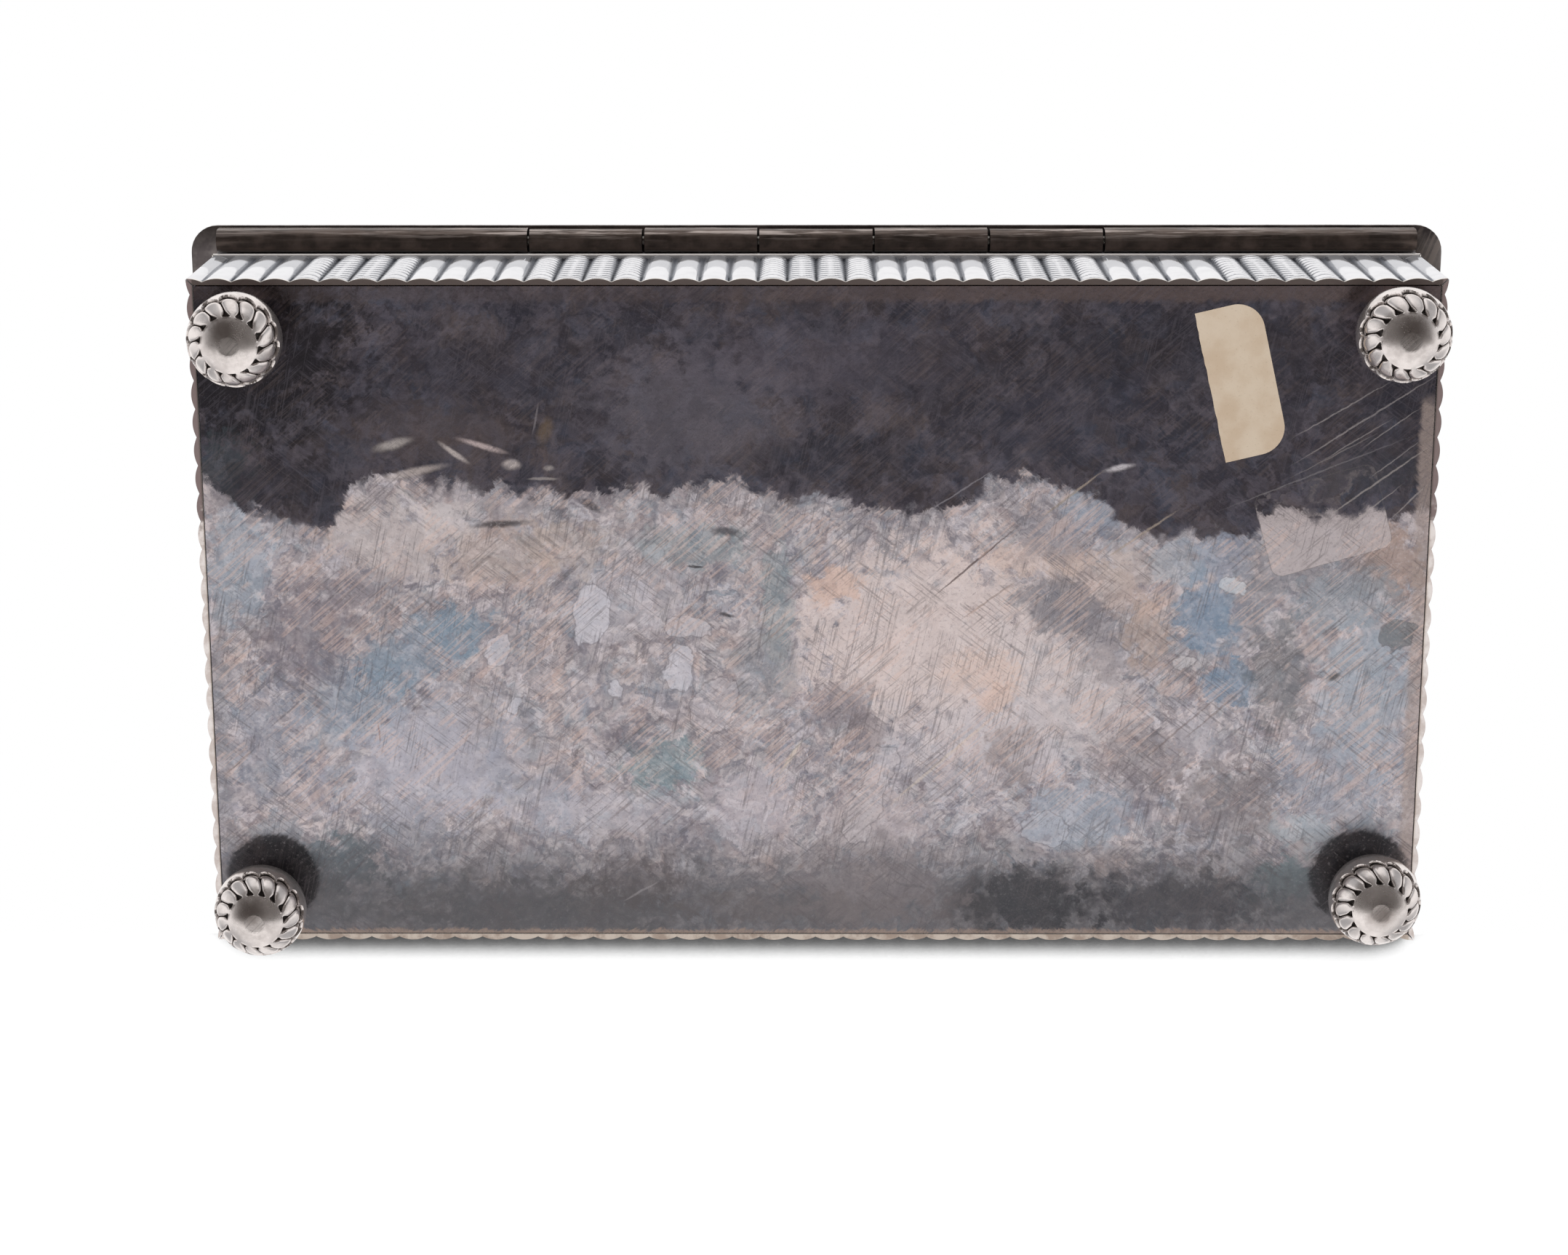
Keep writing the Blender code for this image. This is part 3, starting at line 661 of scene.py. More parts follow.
# %% [markdown]
# Towards the front edge the plate darkens again, most of all in two places, and a narrow
# beige band is worn bare at the very edge. Just above each front foot the plate carries a
# painted dark reflection of the foot, a black round patch.

# %% Base plate: dark front and bare edge
axes = split(widely)
close = split(gently)
worn_down = scaled(wear, 1.8, axes[1])
colour = lay(fade(worn_down, -33.0, -48.0, 0.0, 0.80), colour, smoke)
dark_places = ((-34, -49, 11, 6, 0.80, "3c3c3f"), (48, -51, 26, 6, 0.60, "555456"),
    (30, -45, 8, 4, 0.45, "585050"), (-60, -49, 14, 5, 0.60, soot), (84, -49, 8, 6, 0.50, smoke),
    (-9, -46, 13, 6, 0.50, "8b8284"), (2, -50, 18, 3, 0.40, "6d6564"), (-82, -50, 8, 4, 0.45, smoke))
colour = add_blooms(colour, dark_places, 0.45)
bare = fade(close[1], -53.5, -54.1)
colour = lay(times(bare, 0.65), colour, "a38d80")

# %% [markdown]
# The edge of the dark part is drawn with a curve node, from the left end of the plate to the
# right, and the brushed places tear it. The dark part is partly real tarnish and partly a
# painted dark reflection, and just below it lies a greyer fringe of the same kind.

# %% Base plate: the dark part
edge_points = ((98, 23), (93, 19), (87, 17), (81, 14.6), (76.5, 17), (75, 21), (68, 24.3), (61, 22),
    (55, 21.6), (47, 20.6), (32, 21), (18, 21.4), (13, 22.8), (8, 20.3), (0, 20.2), (-8, 18.2),
    (-16, 17.4), (-24, 19), (-29, 23.2), (-36, 23.2), (-40, 21), (-45.5, 19.4), (-49, 15.6), (-56, 13.6),
    (-65, 14.3), (-73, 14.6), (-86, 15.4), (-93, 16.6), (-98, 17.5))
share_per_mm, curve_height = 0.005, 40.0
line = node("ShaderNodeFloatCurve", {"Value": scaled(close[0], share_per_mm, 0.5)})
curve = line.mapping.curves[0]
for x, y in sorted(edge_points):
    curve.points.new(x * share_per_mm + 0.5, y / curve_height)
curve.points.remove(curve.points[-1])
curve.points.remove(curve.points[0])
line.mapping.update()
torn = cloudy(gently, 3.4, 51.0, 0.3, 0.7)
above = minus(close[1], times(line.outputs[0], curve_height))
above = plus(above, scaled(torn, 3.0, -1.5))
# Partly real tarnish, partly painted reflection: a greyer fringe below the dark part's edge.
tarnish_and_reflection_fringe = times(fade(above, -6.5, -0.5), fade(wear, -0.2, 0.9))
colour = lay(times(tarnish_and_reflection_fringe, 0.62), colour, "6d676c")
# The dark part: partly real tarnish, partly a painted dark reflection.
dark_part = fade(above, -0.9, 1.0)
night = lay(cloud(12.0, 61.0, 0.44, 0.58), "47464f", "5d575e")
night = add_clouds(night, ((7.0, 62.0, 0.45, "454c5c"), (6.0, 63.0, 0.55, "594c48"),
    (9.0, 64.0, 0.60, "2f2c32"), (3.2, 65.0, 0.45, "34313a"), (2.4, 66.0, 0.40, "655f68"),
    (1.3, 67.0, 0.30, "2e2b30")))
night_blooms = ((92, 44, 17, 15, 0.92, "232023"), (-95, 38, 12, 14, 0.55, "302d33"),
    (-60, 44, 30, 6, 0.50, "2b282d"), (96, 25, 5, 5, 0.5, "4a5258"), (88, 22, 12, 4, 0.50, "2c292e"),
    (-88, 24, 9, 4, 0.4, "4a4a50"), (55, 40, 16, 6, 0.45, "322f36"), (20, 34, 14, 10, 0.50, "6a656d"),
    (0, 42, 22, 6, 0.35, "67606a"), (-5, 26, 16, 4, 0.40, "2c2a2f"), (60, 30, 14, 5, 0.40, "5e5250"),
    (-40, 34, 14, 7, 0.40, "3a3a45"), (-20, 40, 12, 6, 0.35, "2f2c31"))
night = add_blooms(night, night_blooms, 0.4)
hem = times(fade(close[1], 51.4, 52.6), fade(axes[0], 30.0, -40.0, 0.30, 0.8))
night = lay(hem, night, "5f5250")
colour = lay(dark_part, colour, night)
strip = times(fade(close[0], -96.2, -97.2), fade(axes[1], 38.0, 33.0))
colour = lay(times(strip, 0.62), colour, "ab9a93")
# Painted dark reflection of each front foot in the plate.
for x, y, radius in ((90.3, -44.6, 7.6), (-90.2, -44.4, 8.2)):
    mask = oval(gently, x, y, radius, radius, 0, 0.07)
    colour = lay(times(mask, 0.85), colour, "2b2a2c")

# %% [markdown]
# Drops once dried on the plate and left paler islands with a dark rim. A removed label left
# its outline, and a round stain sits near the edge. These marks are tablets, given by their
# middle and half sizes in mm, turn in degrees, corner radius in mm, strength and tint.

# %% Base plate: drops, ghost label and stain
marks = ((36.5, 0.5, 2.8, 5.2, 8, 2.7, 0.60, "dcd8e0"), (22.3, -8.4, 2.5, 4.2, 10, 2.4, 0.60, "dad6de"),
    (21.0, -1.5, 3.6, 1.5, 0, 1.4, 0.50, "d6d1d7"), (16.3, -14.5, 3.4, 5.0, 20, 2.6, 0.30, "cfc7cc"),
    (52.0, -5.5, 1.8, 2.6, 0, 1.6, 0.45, "d6d2da"), (33.0, -12.4, 1.2, 1.4, 0, 1.1, 0.55, "d9d5dd"),
    (49.0, -15.0, 1.1, 1.8, 0, 1.0, 0.55, "cfcdd6"), (-67.5, 5.5, 2.6, 1.3, 0, 1.2, 0.60, "d2d6dc"),
    (-60.0, -8.0, 1.8, 0.9, 0, 0.8, 0.60, "d2ccce"), (-94.5, -2.8, 2.7, 2.7, 0, 2.6, 0.75, "74777a"),
    (-38.0, -36.0, 3.4, 3.0, 0, 2.8, 0.35, "c4c6d0"), (-9.0, -30.0, 2.2, 9.0, 20, 2.0, 0.35, "cfc6c9"))
height = noise(place, 0.8, 4.0)
dripped = shift("ADD", place, bent(place, 2.4, 4.5, 3.0))


def tablet_at(place, x, y, half_x, half_y, turn, corner, edge):
    return use(tablet, place=place, centre=(x, y, 0.0), half_size=(half_x, half_y, 0.0),
        turn=math.radians(turn), corner=corner, edge=edge)


for *shape, share, code in marks:
    made = tablet_at(dripped, *shape, 0.24)
    colour = lay(times(made["Mask"], share), colour, code)
    colour = lay(times(made["Rim"], 0.45), colour, "5f5a60")
straight = shift("ADD", place, bent(place, 0.25, 2.0, 2.0))
ghost = tablet_at(straight, -81.8, 16.3, 10.0, 7.1, -16, 1.8, 0.10)
kept = larger(fade(above, 3.4, 1.6), cloud(2.2, 75.0, 0.52, 0.62))
ghost_tone = lay(fade(above, 4.2, 2.4), "6c6567", "c6baba")
colour = lay(times(times(ghost["Mask"], kept), 0.80), colour, ghost_tone)
colour = lay(times(ghost["Rim"], 0.50), colour, "66615f")
print("drops and stains:", len(marks))

# %% [markdown]
# Dents show as short bright crescents in the dark part, which are painted highlights, and as
# dark slits in the pale part, which are painted shade. Long scratches are the same soft oval,
# only very thin. A row gives the middle and radii in mm, turn in degrees, strength and tint.

# %% Base plate: dents and long scratches
cuts = ((68.0, 28.8, 2.6, 0.70, -16, 0.75, "b3aaa6"), (58.2, 27.4, 2.3, 0.40, 36, 0.80, "c5b9b5"),
    (53.6, 28.6, 3.3, 0.42, 16, 0.80, "c5b3b1"), (65.0, 24.2, 4.5, 0.60, -13, 0.70, "c0b3ae"),
    (49.0, 25.5, 1.2, 0.75, 0, 0.80, "c9bdb9"), (43.0, 25.0, 0.7, 0.40, 0, 0.60, "b3aaa6"),
    (44.0, 23.2, 2.2, 0.25, 0, 0.50, "b3aaa6"), (-48.7, 25.0, 2.0, 0.45, -12, 0.80, "cfc8cc"),
    (43.5, 31.0, 1.0, 2.0, 20, 0.35, "8a7358"), (51.0, 15.8, 4.0, 0.50, -4, 0.85, "3d3a3d"),
    (36.4, 18.9, 1.8, 0.60, 30, 0.80, "474346"), (14.6, 14.6, 2.2, 0.60, 6, 0.75, "4c4a4f"),
    (19.6, 8.6, 1.3, 0.22, 2, 0.85, "3d3a3d"), (14.6, 0.6, 1.2, 0.30, 14, 0.85, "3d3a3d"),
    (4.0, -23.5, 2.8, 0.35, -58, 0.60, "e0d2c2"), (-25.5, 9.2, 7.6, 0.16, -41, 0.80, "5a4a48"),
    (-41.0, 20.5, 5.6, 0.20, -38, 0.70, "a8998c"), (-52.5, 14.0, 6.2, 0.20, -35, 0.65, "a8998c"),
    (-21.0, -24.0, 11.0, 0.26, -42, 0.55, "d8c9bd"), (-23.0, 21.0, 6.5, 0.12, -33, 0.60, "8f8a90"),
    (-60.0, -18.5, 9.0, 0.16, -42, 0.50, "7b6c68"), (-66.0, -15.5, 7.0, 0.16, -42, 0.50, "7b6c68"),
    (-88.0, 33.0, 12.0, 0.14, -33, 0.55, "a59d9c"), (-84.0, 34.5, 8.0, 0.12, -31, 0.55, "a59d9c"),
    (-90.0, 22.5, 9.0, 0.16, -36, 0.55, "aca39f"), (-80.0, 24.0, 14.0, 0.12, -22, 0.40, "8f8a8c"),
    (71.8, -19.5, 1.6, 0.14, 85, 0.60, "8c6a62"), (95.0, -24.5, 3.6, 0.14, -42, 0.60, "5a5556"),
    (-16.0, -46.0, 3.0, 0.25, 10, 0.45, "6c686b"), (-84.6, -9.8, 1.0, 0.5, -30, 0.80, "4a4542"),
    (-86.5, 29.5, 6.0, 0.10, -32, 0.45, "a59d9c"), (-92.0, 31.5, 5.0, 0.10, -36, 0.5, "a59d9c"),
    (-83.0, 27.0, 7.0, 0.10, -28, 0.40, "99918f"), (-93.0, 26.5, 4.5, 0.10, -38, 0.5, "a59d9c"),
    (-95.5, 19.5, 3.5, 0.12, -45, 0.45, "b5aba8"), (-89.0, 18.0, 6.0, 0.12, -40, 0.45, "b5aba8"),
    (77.0, -44.0, 6.0, 0.20, -50, 0.45, "555358"), (29.0, -47.0, 3.0, 0.20, -30, 0.45, "a09a9c"),
    (45.0, 33.0, 2.4, 0.16, -80, 0.45, "8d868a"), (-70.0, 37.0, 1.8, 0.14, -70, 0.45, "8d868a"),
    (2.0, 12.0, 3.0, 0.30, 84, 0.45, "cfc6c6"), (-28.0, 3.0, 5.0, 0.16, -36, 0.50, "8a7468"))
# Bright dent crescents are painted highlights and dark dent slits are painted shade; the very thin ovals
# are scratches.
for x, y, half_long, half_wide, turn, share, code in cuts:
    mask = oval(straight, x, y, half_long, half_wide, turn, 0.35 if half_wide < 0.3 else 0.6)
    colour = lay(times(mask, share), colour, code)
    if half_wide > 0.44:
        height = minus(height, times(mask, 0.8))
print("dents and scratches:", len(cuts))

# %% [markdown]
# Last come the fine strokes that cover the whole plate: pale in the dark part, dark in the
# pale part, in patches that each have their own direction.

# %% Base plate: hairlines, shine and relief
lines = None
for turn, per_mm, seed in ((0.72, 3.6, 81.0), (-0.65, 4.0, 83.0), (1.35, 3.8, 84.0)):
    patch = cloudy(place, 9.0, seed, 0.46, 0.58)
    strokes = times(hairs(place, turn, per_mm, 0.03, 0.55), patch)
    lines = strokes if lines is None else larger(lines, strokes)
line_tone = lay(dark_part, "6f696c", "7b757d")
colour = lay(times(lines, fade(dark_part, 0.0, 1.0, 0.38, 0.20)), colour, line_tone)
specks = noise(place, 1.8, 5.0, 0.72)
peach = times(hairs(place, 0.72, 2.4, 0.04, 0.50), cloud(7.0, 88.0, 0.47, 0.57))
peach = times(peach, fade(close[1], -38.0, -28.0, 0.0, 0.34))
colour = lay(times(peach, fade(dark_part, 0.0, 1.0, 1.0, 0.08)), colour, "e6c8bc")
colour = lay(fade(specks, 0.50, 0.34, 0.0, 0.36), colour, lay(dark_part, "5f5a60", "2d2a2f"))
shown = fade(close[1], -48.0, -36.0, 0.10, 0.45)
colour = lay(times(fade(specks, 0.54, 0.72), shown), colour, lay(dark_part, "ddd6da", "655f68"))
feed(shader["Base Color"], colour)
rough = plus(fade(dark_part, 0.0, 1.0, 0.30, 0.26), times(lines, 0.10))
feed(shader["Roughness"], plus(rough, fade(specks, 0.3, 0.7, -0.05, 0.08)))
feed(shader["Normal"], bumped(height, 0.06, 0.6))
print("plate nodes:", len(tree.nodes))

# %% [markdown]
# ## Wood, pin and paper
# Spanish cedar is straight-grained and reddish. The rings of a trunk run along a board, so
# the pattern is rings round a far-off line that is parallel to the grain, bent by noise. One
# group serves the boards that lie along the box and those that lie across it.

# %% Cedar
wood, given, result = shader_group("cedar_grain", [("Place", "v", None), ("Turn", "f", 0.0)],
    [("Colour", "c"), ("Height", "f")])
turned = rotated(given["Place"], given["Turn"])
slow = shift("MULTIPLY", turned, (0.05, 1.0, 1.0))
warp = noise(slow, 0.12, 3.0, output=1)
across = shift("ADD", slow, shift("MULTIPLY", warp, (7.0, 7.0, 7.0)))
far_line = shift("MULTIPLY", shift("ADD", across, (0.0, 31.0, 47.0)), (0.0, 1.0, 1.0))
ring = sums("FRACT", times(measure(far_line), 0.55))
late = fade(sums("ABSOLUTE", minus(ring, 0.8)), 0.35, 0.0)
pores_place = shift("MULTIPLY", turned, (0.35, 7.0, 7.0))
pores = noise(pores_place, 1.0, 3.0)
pore = fade(pores, 0.56, 0.66)
grain = lay(late, "b98256", "93592f")
feed(result["Colour"], lay(times(pore, 0.5), grain, "6b3c1f"))
feed(result["Height"], minus(1.0, pore))


def cedar_finish(title, turn):
    material, tree, shader = new_finish(title, 0.0, 0.58)
    place = place_mm(tree)
    board = use(wood, place=place, turn=turn)
    aged = cloudy(place, 14.0, 4.0, 0.35, 0.7)
    colour = lay(times(aged, 0.3), board["Colour"], "7d4b2b")
    feed(shader["Base Color"], colour)
    feed(shader["Normal"], bumped(board["Height"], 0.05, 0.5))
    return material


cedar_long = cedar_finish("cedar_along_the_box", 0.0)
cedar_short = cedar_finish("cedar_across_the_box", math.pi / 2)

# %% Pin and paper
pin_steel, tree, shader = new_finish("drawn_pin_wire", 1.0)
place = place_mm(tree)
drawn = noise(shift("MULTIPLY", place, (0.1, 5, 5)), 1.0, 3.0)
feed(shader["Base Color"], lay(drawn, "8a857f", "b9b4ad"))
feed(shader["Roughness"], fade(drawn, 0.3, 0.7, 0.25, 0.42))

label_paper, tree, shader = new_finish("aged_label_paper", 0.0, 0.85)
place = place_mm(tree)
fibres = noise(place, 3.0, 5.0)
yellowed = cloudy(place, 6.0, 90.0, 0.35, 0.7)
colour = lay(yellowed, "cdbca8", "c2ad96")
colour = lay(fade(fibres, 0.60, 0.72, 0.0, 0.35), colour, "a8937c")
feed(shader["Base Color"], colour)
feed(shader["Normal"], bumped(fibres, 0.03, 0.5))
print("wood, pin and paper:", cedar_long.name, pin_steel.name, label_paper.name)

# %% [markdown]
# ## Reeded walls
# Each wall is a row of reeds, which are shallow arcs that meet in sharp valleys. They come
# in groups of four, or of five on the short walls: one group plain, the next chased with
# close cross cuts. In a chased group the outer reeds have cuts that arch upwards, and the
# inner ones have cuts that dip. A half
# reed with a mitre closes each end. Three reeds and two ends are modelled once, and
# Geometry Nodes sets them in a row by a counting rule, as the maker did with punches.

# %% Sizes of a reed
reed_depth = 0.00055
corner_share = 0.55
wall_bottom, bead_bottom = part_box("back_wall")[0].z, 0.0388
wall_top = bead_bottom
wall_thickness = 0.0010
mitre = 0.0002 / math.sqrt(2)
cut_count, cut_depth = 11, 0.00030
ease_cuts, cut_end, cut_dark = 2.2, 0.16, 0.75
valley_start, valley_gain = 0.80, 0.32
end_dark, end_dark_start = 0.42, 0.6
columns = 14
cut_pitch = (wall_top - wall_bottom) / (cut_count + 0.5)
cut_steps = ((0.0, 1.0), (0.09, 0.60), (0.20, 0.12), (0.5, 0.0), (0.80, 0.12), (0.91, 0.60))
levels = [(wall_bottom, 0.0), (wall_bottom + 0.25 * cut_pitch, 0.0)]
for cut in range(cut_count):
    for step, deep in cut_steps:
        levels.append((wall_bottom + (cut + 0.5 + step) * cut_pitch, deep))
levels.append((wall_top, 0.0))
print("cross cuts every mm:", round(cut_pitch * 1000, 2), "rows:", len(levels))


# %% Mesh of a reed
def number_points(mesh, name, values):
    mesh.attributes.new(name, "FLOAT", "POINT").data.foreach_set("value", values)


def grid_piece(title, outer, inner, closed_sides=(), chased=0.0):
    """A strip of wall: rows of outer points, and inner points at the bottom and top."""
    rows, width = len(outer), len(outer[0])
    points = [point for row in outer for point, recess in row]
    recess = [recess for row in outer for point, recess in row]
    at = lambda row, column: row * width + column
    faces = [(at(r, c), at(r + 1, c), at(r + 1, c + 1), at(r, c + 1)) for r in range(rows - 1)
        for c in range(width - 1)]
    first = len(points)
    points += inner
    recess += [0.0] * len(inner)
    low_left, low_right, top_left, top_right = range(first, first + 4)
    faces.append((low_left, low_right, top_right, top_left))
    faces.append([at(0, c) for c in range(width)] + [low_right, low_left])
    faces.append([at(rows - 1, c) for c in reversed(range(width))] + [top_left, top_right])
    if "left" in closed_sides:
        faces.append([at(r, 0) for r in reversed(range(rows))] + [low_left, top_left])
    if "right" in closed_sides:
        faces.append([at(r, width - 1) for r in range(rows)] + [top_right, low_right])
    mesh = bpy.data.meshes.new(title)
    mesh.from_pydata(points, [], faces)
    number_points(mesh, "recess", recess)
    number_points(mesh, "chased", [chased] * len(points))
    return new_object(title, mesh)


def reed(title, pitch, arch=0.0, peak=2.0, cut=0.0):
    """One whole reed about x = 0. Its cuts rise by arch towards its crest."""
    outer = []
    for height, deep in levels:
        from_end = min(height - wall_bottom, wall_top - height)
        ease = min(1.0, from_end / (ease_cuts * cut_pitch))
        open_to = valley_start - valley_gain * (height - wall_bottom) / (wall_top - wall_bottom)
        row = []
        for column in range(columns + 1):
            across = column / columns
            side = abs(2 * across - 1)
            lift = arch * ease * (1 - side ** peak)
            reach = min(1.0, (1 - side) / cut_end)
            sunk = cut * deep * reach
            valley = max(0.0, (side - open_to) / (1 - open_to)) ** 0.9
            dark = max(valley, cut_dark * deep * reach if cut else 0.0)
            row.append((((across - 0.5) * pitch, -reed_depth * side ** 2 - sunk, height + lift), dark))
        outer.append(row)
    back = [(x, -wall_thickness, z) for z in (wall_bottom, wall_top) for x in (-pitch / 2, pitch / 2)]
    return grid_piece(title, outer, back, chased=1.0 if cut else 0.0)


def end_reed(title, length, pitch, side):
    """The half reed at a corner, cut off by the mitre. side is -1 at x low and 1 at x high."""
    end = length / 2 - mitre
    cusp = length / 2 - corner_share * pitch
    outer = []
    for height, deep in levels:
        row = []
        for column in range(columns // 2 + 1):
            rise = column / (columns // 2)
            along = end + (cusp - end) * rise
            dark = end_dark * max(0, rise - end_dark_start)
            row.append(((side * along, -reed_depth * rise ** 2, height), dark))
        outer.append(row if side < 0 else row[::-1])
    far = side * (end - wall_thickness)
    xs = (far, side * cusp) if side < 0 else (side * cusp, far)
    back = [(x, -wall_thickness, z) for z in (wall_bottom, wall_top) for x in xs]
    return grid_piece(title, outer, back, "left" if side < 0 else "right")


# %% [markdown]
# The row itself is one Geometry Nodes tree. The number of a reed decides its kind: its
# group is odd for chased reeds, and the first and last of a group get the arched cuts.

# %% Geometry tree maker
def geometry_tree(title, inputs):
    tree = bpy.data.node_groups.new(title, "GeometryNodeTree")
    for name, kind in inputs:
        tree.interface.new_socket(name, in_out="INPUT", socket_type="NodeSocket" + kind)
    tree.interface.new_socket("Geometry", in_out="OUTPUT", socket_type="NodeSocketGeometry")
    return tree, node("NodeGroupInput", tree=tree).outputs, node("NodeGroupOutput", tree=tree).inputs


def apply_modifiers(piece):
    depsgraph = bpy.context.evaluated_depsgraph_get()
    mesh = bpy.data.meshes.new_from_object(piece.evaluated_get(depsgraph))
    piece.modifiers.clear()
    piece.data = mesh


def grown(title, tree, settings):
    """Run a geometry tree and keep its result as a plain mesh."""
    piece = new_object(title, bpy.data.meshes.new(title))
    growth = piece.modifiers.new("growth", "NODES")
    growth.node_group = tree
    for item in tree.interface.items_tree:
        if item.in_out == "INPUT":
            growth[item.identifier] = settings[item.name]
    apply_modifiers(piece)
    piece.data.name = title
    return piece


def grow(kind, inputs):
    return node("GeometryNode" + kind, inputs).outputs[0]


def closed(geometry, weld, finish):
    """Real geometry, welded, smooth, with its finish."""
    real = grow("RealizeInstances", {0: geometry})
    whole = grow("MergeByDistance", {"Geometry": real, "Distance": weld})
    smooth = grow("SetShadeSmooth", {"Geometry": whole})
    return grow("SetMaterial", {"Geometry": smooth, "Material": finish})


# %% Row of reeds
reed_row, given, result = geometry_tree("row_of_reeds", [("Plain reed", "Object"),
    ("Arched reed", "Object"), ("Dipped reed", "Object"), ("Left end", "Object"), ("Right end", "Object"),
    ("Reeds", "Int"), ("Pitch", "Float"), ("Group", "Int"), ("Weld", "Float"), ("Finish", "Material")])
steps = times(minus(given["Reeds"], 1.0), given["Pitch"])
start = joined({0: times(steps, -0.5)})
offset = joined({0: given["Pitch"]})
marks_line = grow("MeshLine", {"Count": given["Reeds"], "Start Location": start, "Offset": offset})
number = plus(node("GeometryNodeInputIndex", tree=reed_row).outputs[0], 1.0)
group_number = sums("FLOOR", sums("DIVIDE", number, given["Group"]))
chased = sums("MODULO", group_number, 2.0)
within = minus(number, times(group_number, given["Group"]))
first_one = sums("LESS_THAN", within, 0.5)
last_one = sums("GREATER_THAN", within, minus(given["Group"], 1.5))
outermost = larger(first_one, last_one)
kinds = (("Plain reed", minus(1.0, chased)), ("Arched reed", times(chased, outermost)),
    ("Dipped reed", times(chased, minus(1.0, outermost))))
everything = node("GeometryNodeJoinGeometry", tree=reed_row)
for name, chosen in kinds:
    shape = node("GeometryNodeObjectInfo", {"Object": given[name]}).outputs["Geometry"]
    copies = grow("InstanceOnPoints", {"Points": marks_line, "Selection": chosen, "Instance": shape})
    reed_row.links.new(copies, everything.inputs[0])
for name in ("Left end", "Right end"):
    shape = node("GeometryNodeObjectInfo", {"Object": given[name]}).outputs["Geometry"]
    reed_row.links.new(shape, everything.inputs[0])
feed(result["Geometry"], closed(everything.outputs[0], given["Weld"], given["Finish"]))


# %% Build the four walls
def settle(piece, body, slot, *nodes, sharp=35.0):
    """Mark sharp edges, give the piece to its body and hide the CAD nodes that it takes the place of."""
    piece.data.set_sharp_from_angle(angle=math.radians(sharp))
    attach(piece, body)
    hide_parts(*nodes)


def build_wall(side, length, reeds, group, reach, turn):
    pitch = length / (reeds + 2 * corner_share)
    parts = {"Plain reed": reed("plain_reed", pitch),
        "Arched reed": reed("arched_reed", pitch, 0.0024, 2.0, cut_depth),
        "Dipped reed": reed("dipped_reed", pitch, -0.0019, 1.3, cut_depth),
        "Left end": end_reed("left_end", length, pitch, -1),
        "Right end": end_reed("right_end", length, pitch, 1)}
    counts = {"Reeds": reeds, "Pitch": pitch, "Group": group, "Weld": 0.000004}
    wall = grown(side + "_reeded_wall", reed_row, {**parts, **counts, "Finish": wall_silver})
    for part in parts.values():
        bpy.data.objects.remove(part)
    wall.data.transform(Matrix.Rotation(turn, 4, "Z") @ Matrix.Translation((0.0, reach, 0.0)))
    settle(wall, "case", "silver_wall", side + "_wall", sharp=30.0)
    print(wall.name, len(wall.data.polygons), "faces")


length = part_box("right_wall")[1].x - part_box("left_wall")[0].x
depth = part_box("back_wall")[1].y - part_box("front_wall")[0].y
# along the wall, across to the other wall, whole reeds, reeds to a group
long_side, short_side = (length, depth, 42, 4), (depth, length, 23, 5)
sides = (("back", long_side, 0.0), ("front", long_side, math.pi), ("left", short_side, math.pi / 2),
    ("right", short_side, -math.pi / 2))
for side, (span, reach, reeds, group), turn in sides:
    build_wall(side, span, reeds, group, reach / 2, turn)

# %% [markdown]
# A plain rim closes the top of the walls. Along its lower edge runs a thin bead that covers
# the ends of the reeds, and it shows as one bright line under the hinge, helped by a painted
# warm highlight in the wall silver.

# %% Rim mouldings
rim_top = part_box("back_rim")[1].z
rim_section = ((-0.0010, 0.03895, 1.0), (-0.0001, 0.03895, 1.0), (0.00002, 0.03896, 0.0),
    (0.00016, 0.03903, 0.0), (0.00022, 0.03918, 0.0), (0.00022, 0.03945, 0.0), (0.00014, 0.03970, 0.0),
    (0.0, 0.03980, 0.1), (0.0, rim_top - 0.0002, 0.0), (-0.0002, rim_top, 0.0), (-0.0010, rim_top, 0.0))


def turn_outwards(work, mesh):
    """Let all faces look outwards and write them to the mesh."""
    bmesh.ops.recalc_face_normals(work, faces=work.faces)
    work.to_mesh(mesh)
    work.free()


def bar(title, ring, other):
    """A closed mesh between two rings of points."""
    count = len(ring)
    faces = [(i, (i + 1) % count, count + (i + 1) % count, count + i) for i in range(count)]
    faces += [tuple(reversed(range(count))), tuple(range(count, 2 * count))]
    mesh = bpy.data.meshes.new(title)
    mesh.from_pydata(ring + other, [], faces)
    work = bmesh.new()
    work.from_mesh(mesh)
    turn_outwards(work, mesh)
    return mesh


for side, (span, reach, reeds, group), turn in sides:
    ends = [[(end * (span / 2 + out - mitre), reach / 2 + out, z) for out, z, recess in rim_section]
        for end in (-1, 1)]
    mesh = bar(side + "_rim_moulding", *ends)
    number_points(mesh, "recess", [recess for out, z, recess in rim_section] * 2)
    mesh.shade_smooth()
    mesh.transform(Matrix.Rotation(turn, 4, "Z"))
    mesh.materials.append(wall_silver)
    moulding = new_object(mesh.name, mesh)
    settle(moulding, "case", "silver_wall", side + "_rim", sharp=50.0)
print("bead stands out by mm:", round(max(out for out, z, recess in rim_section) * 1000, 2))

# %% [markdown]
# ## Bun feet
# Each foot is a turned bun. Its lower half carries a ring of lobes that swirl round the
# dome: a three-cornered pit starts each gap, a fine groove runs outwards, and every lobe
# ends round under an arch cut into the bun's outer cup. One sector with one lobe is worked
# out point by point, and Geometry Nodes repeats it round the axis.

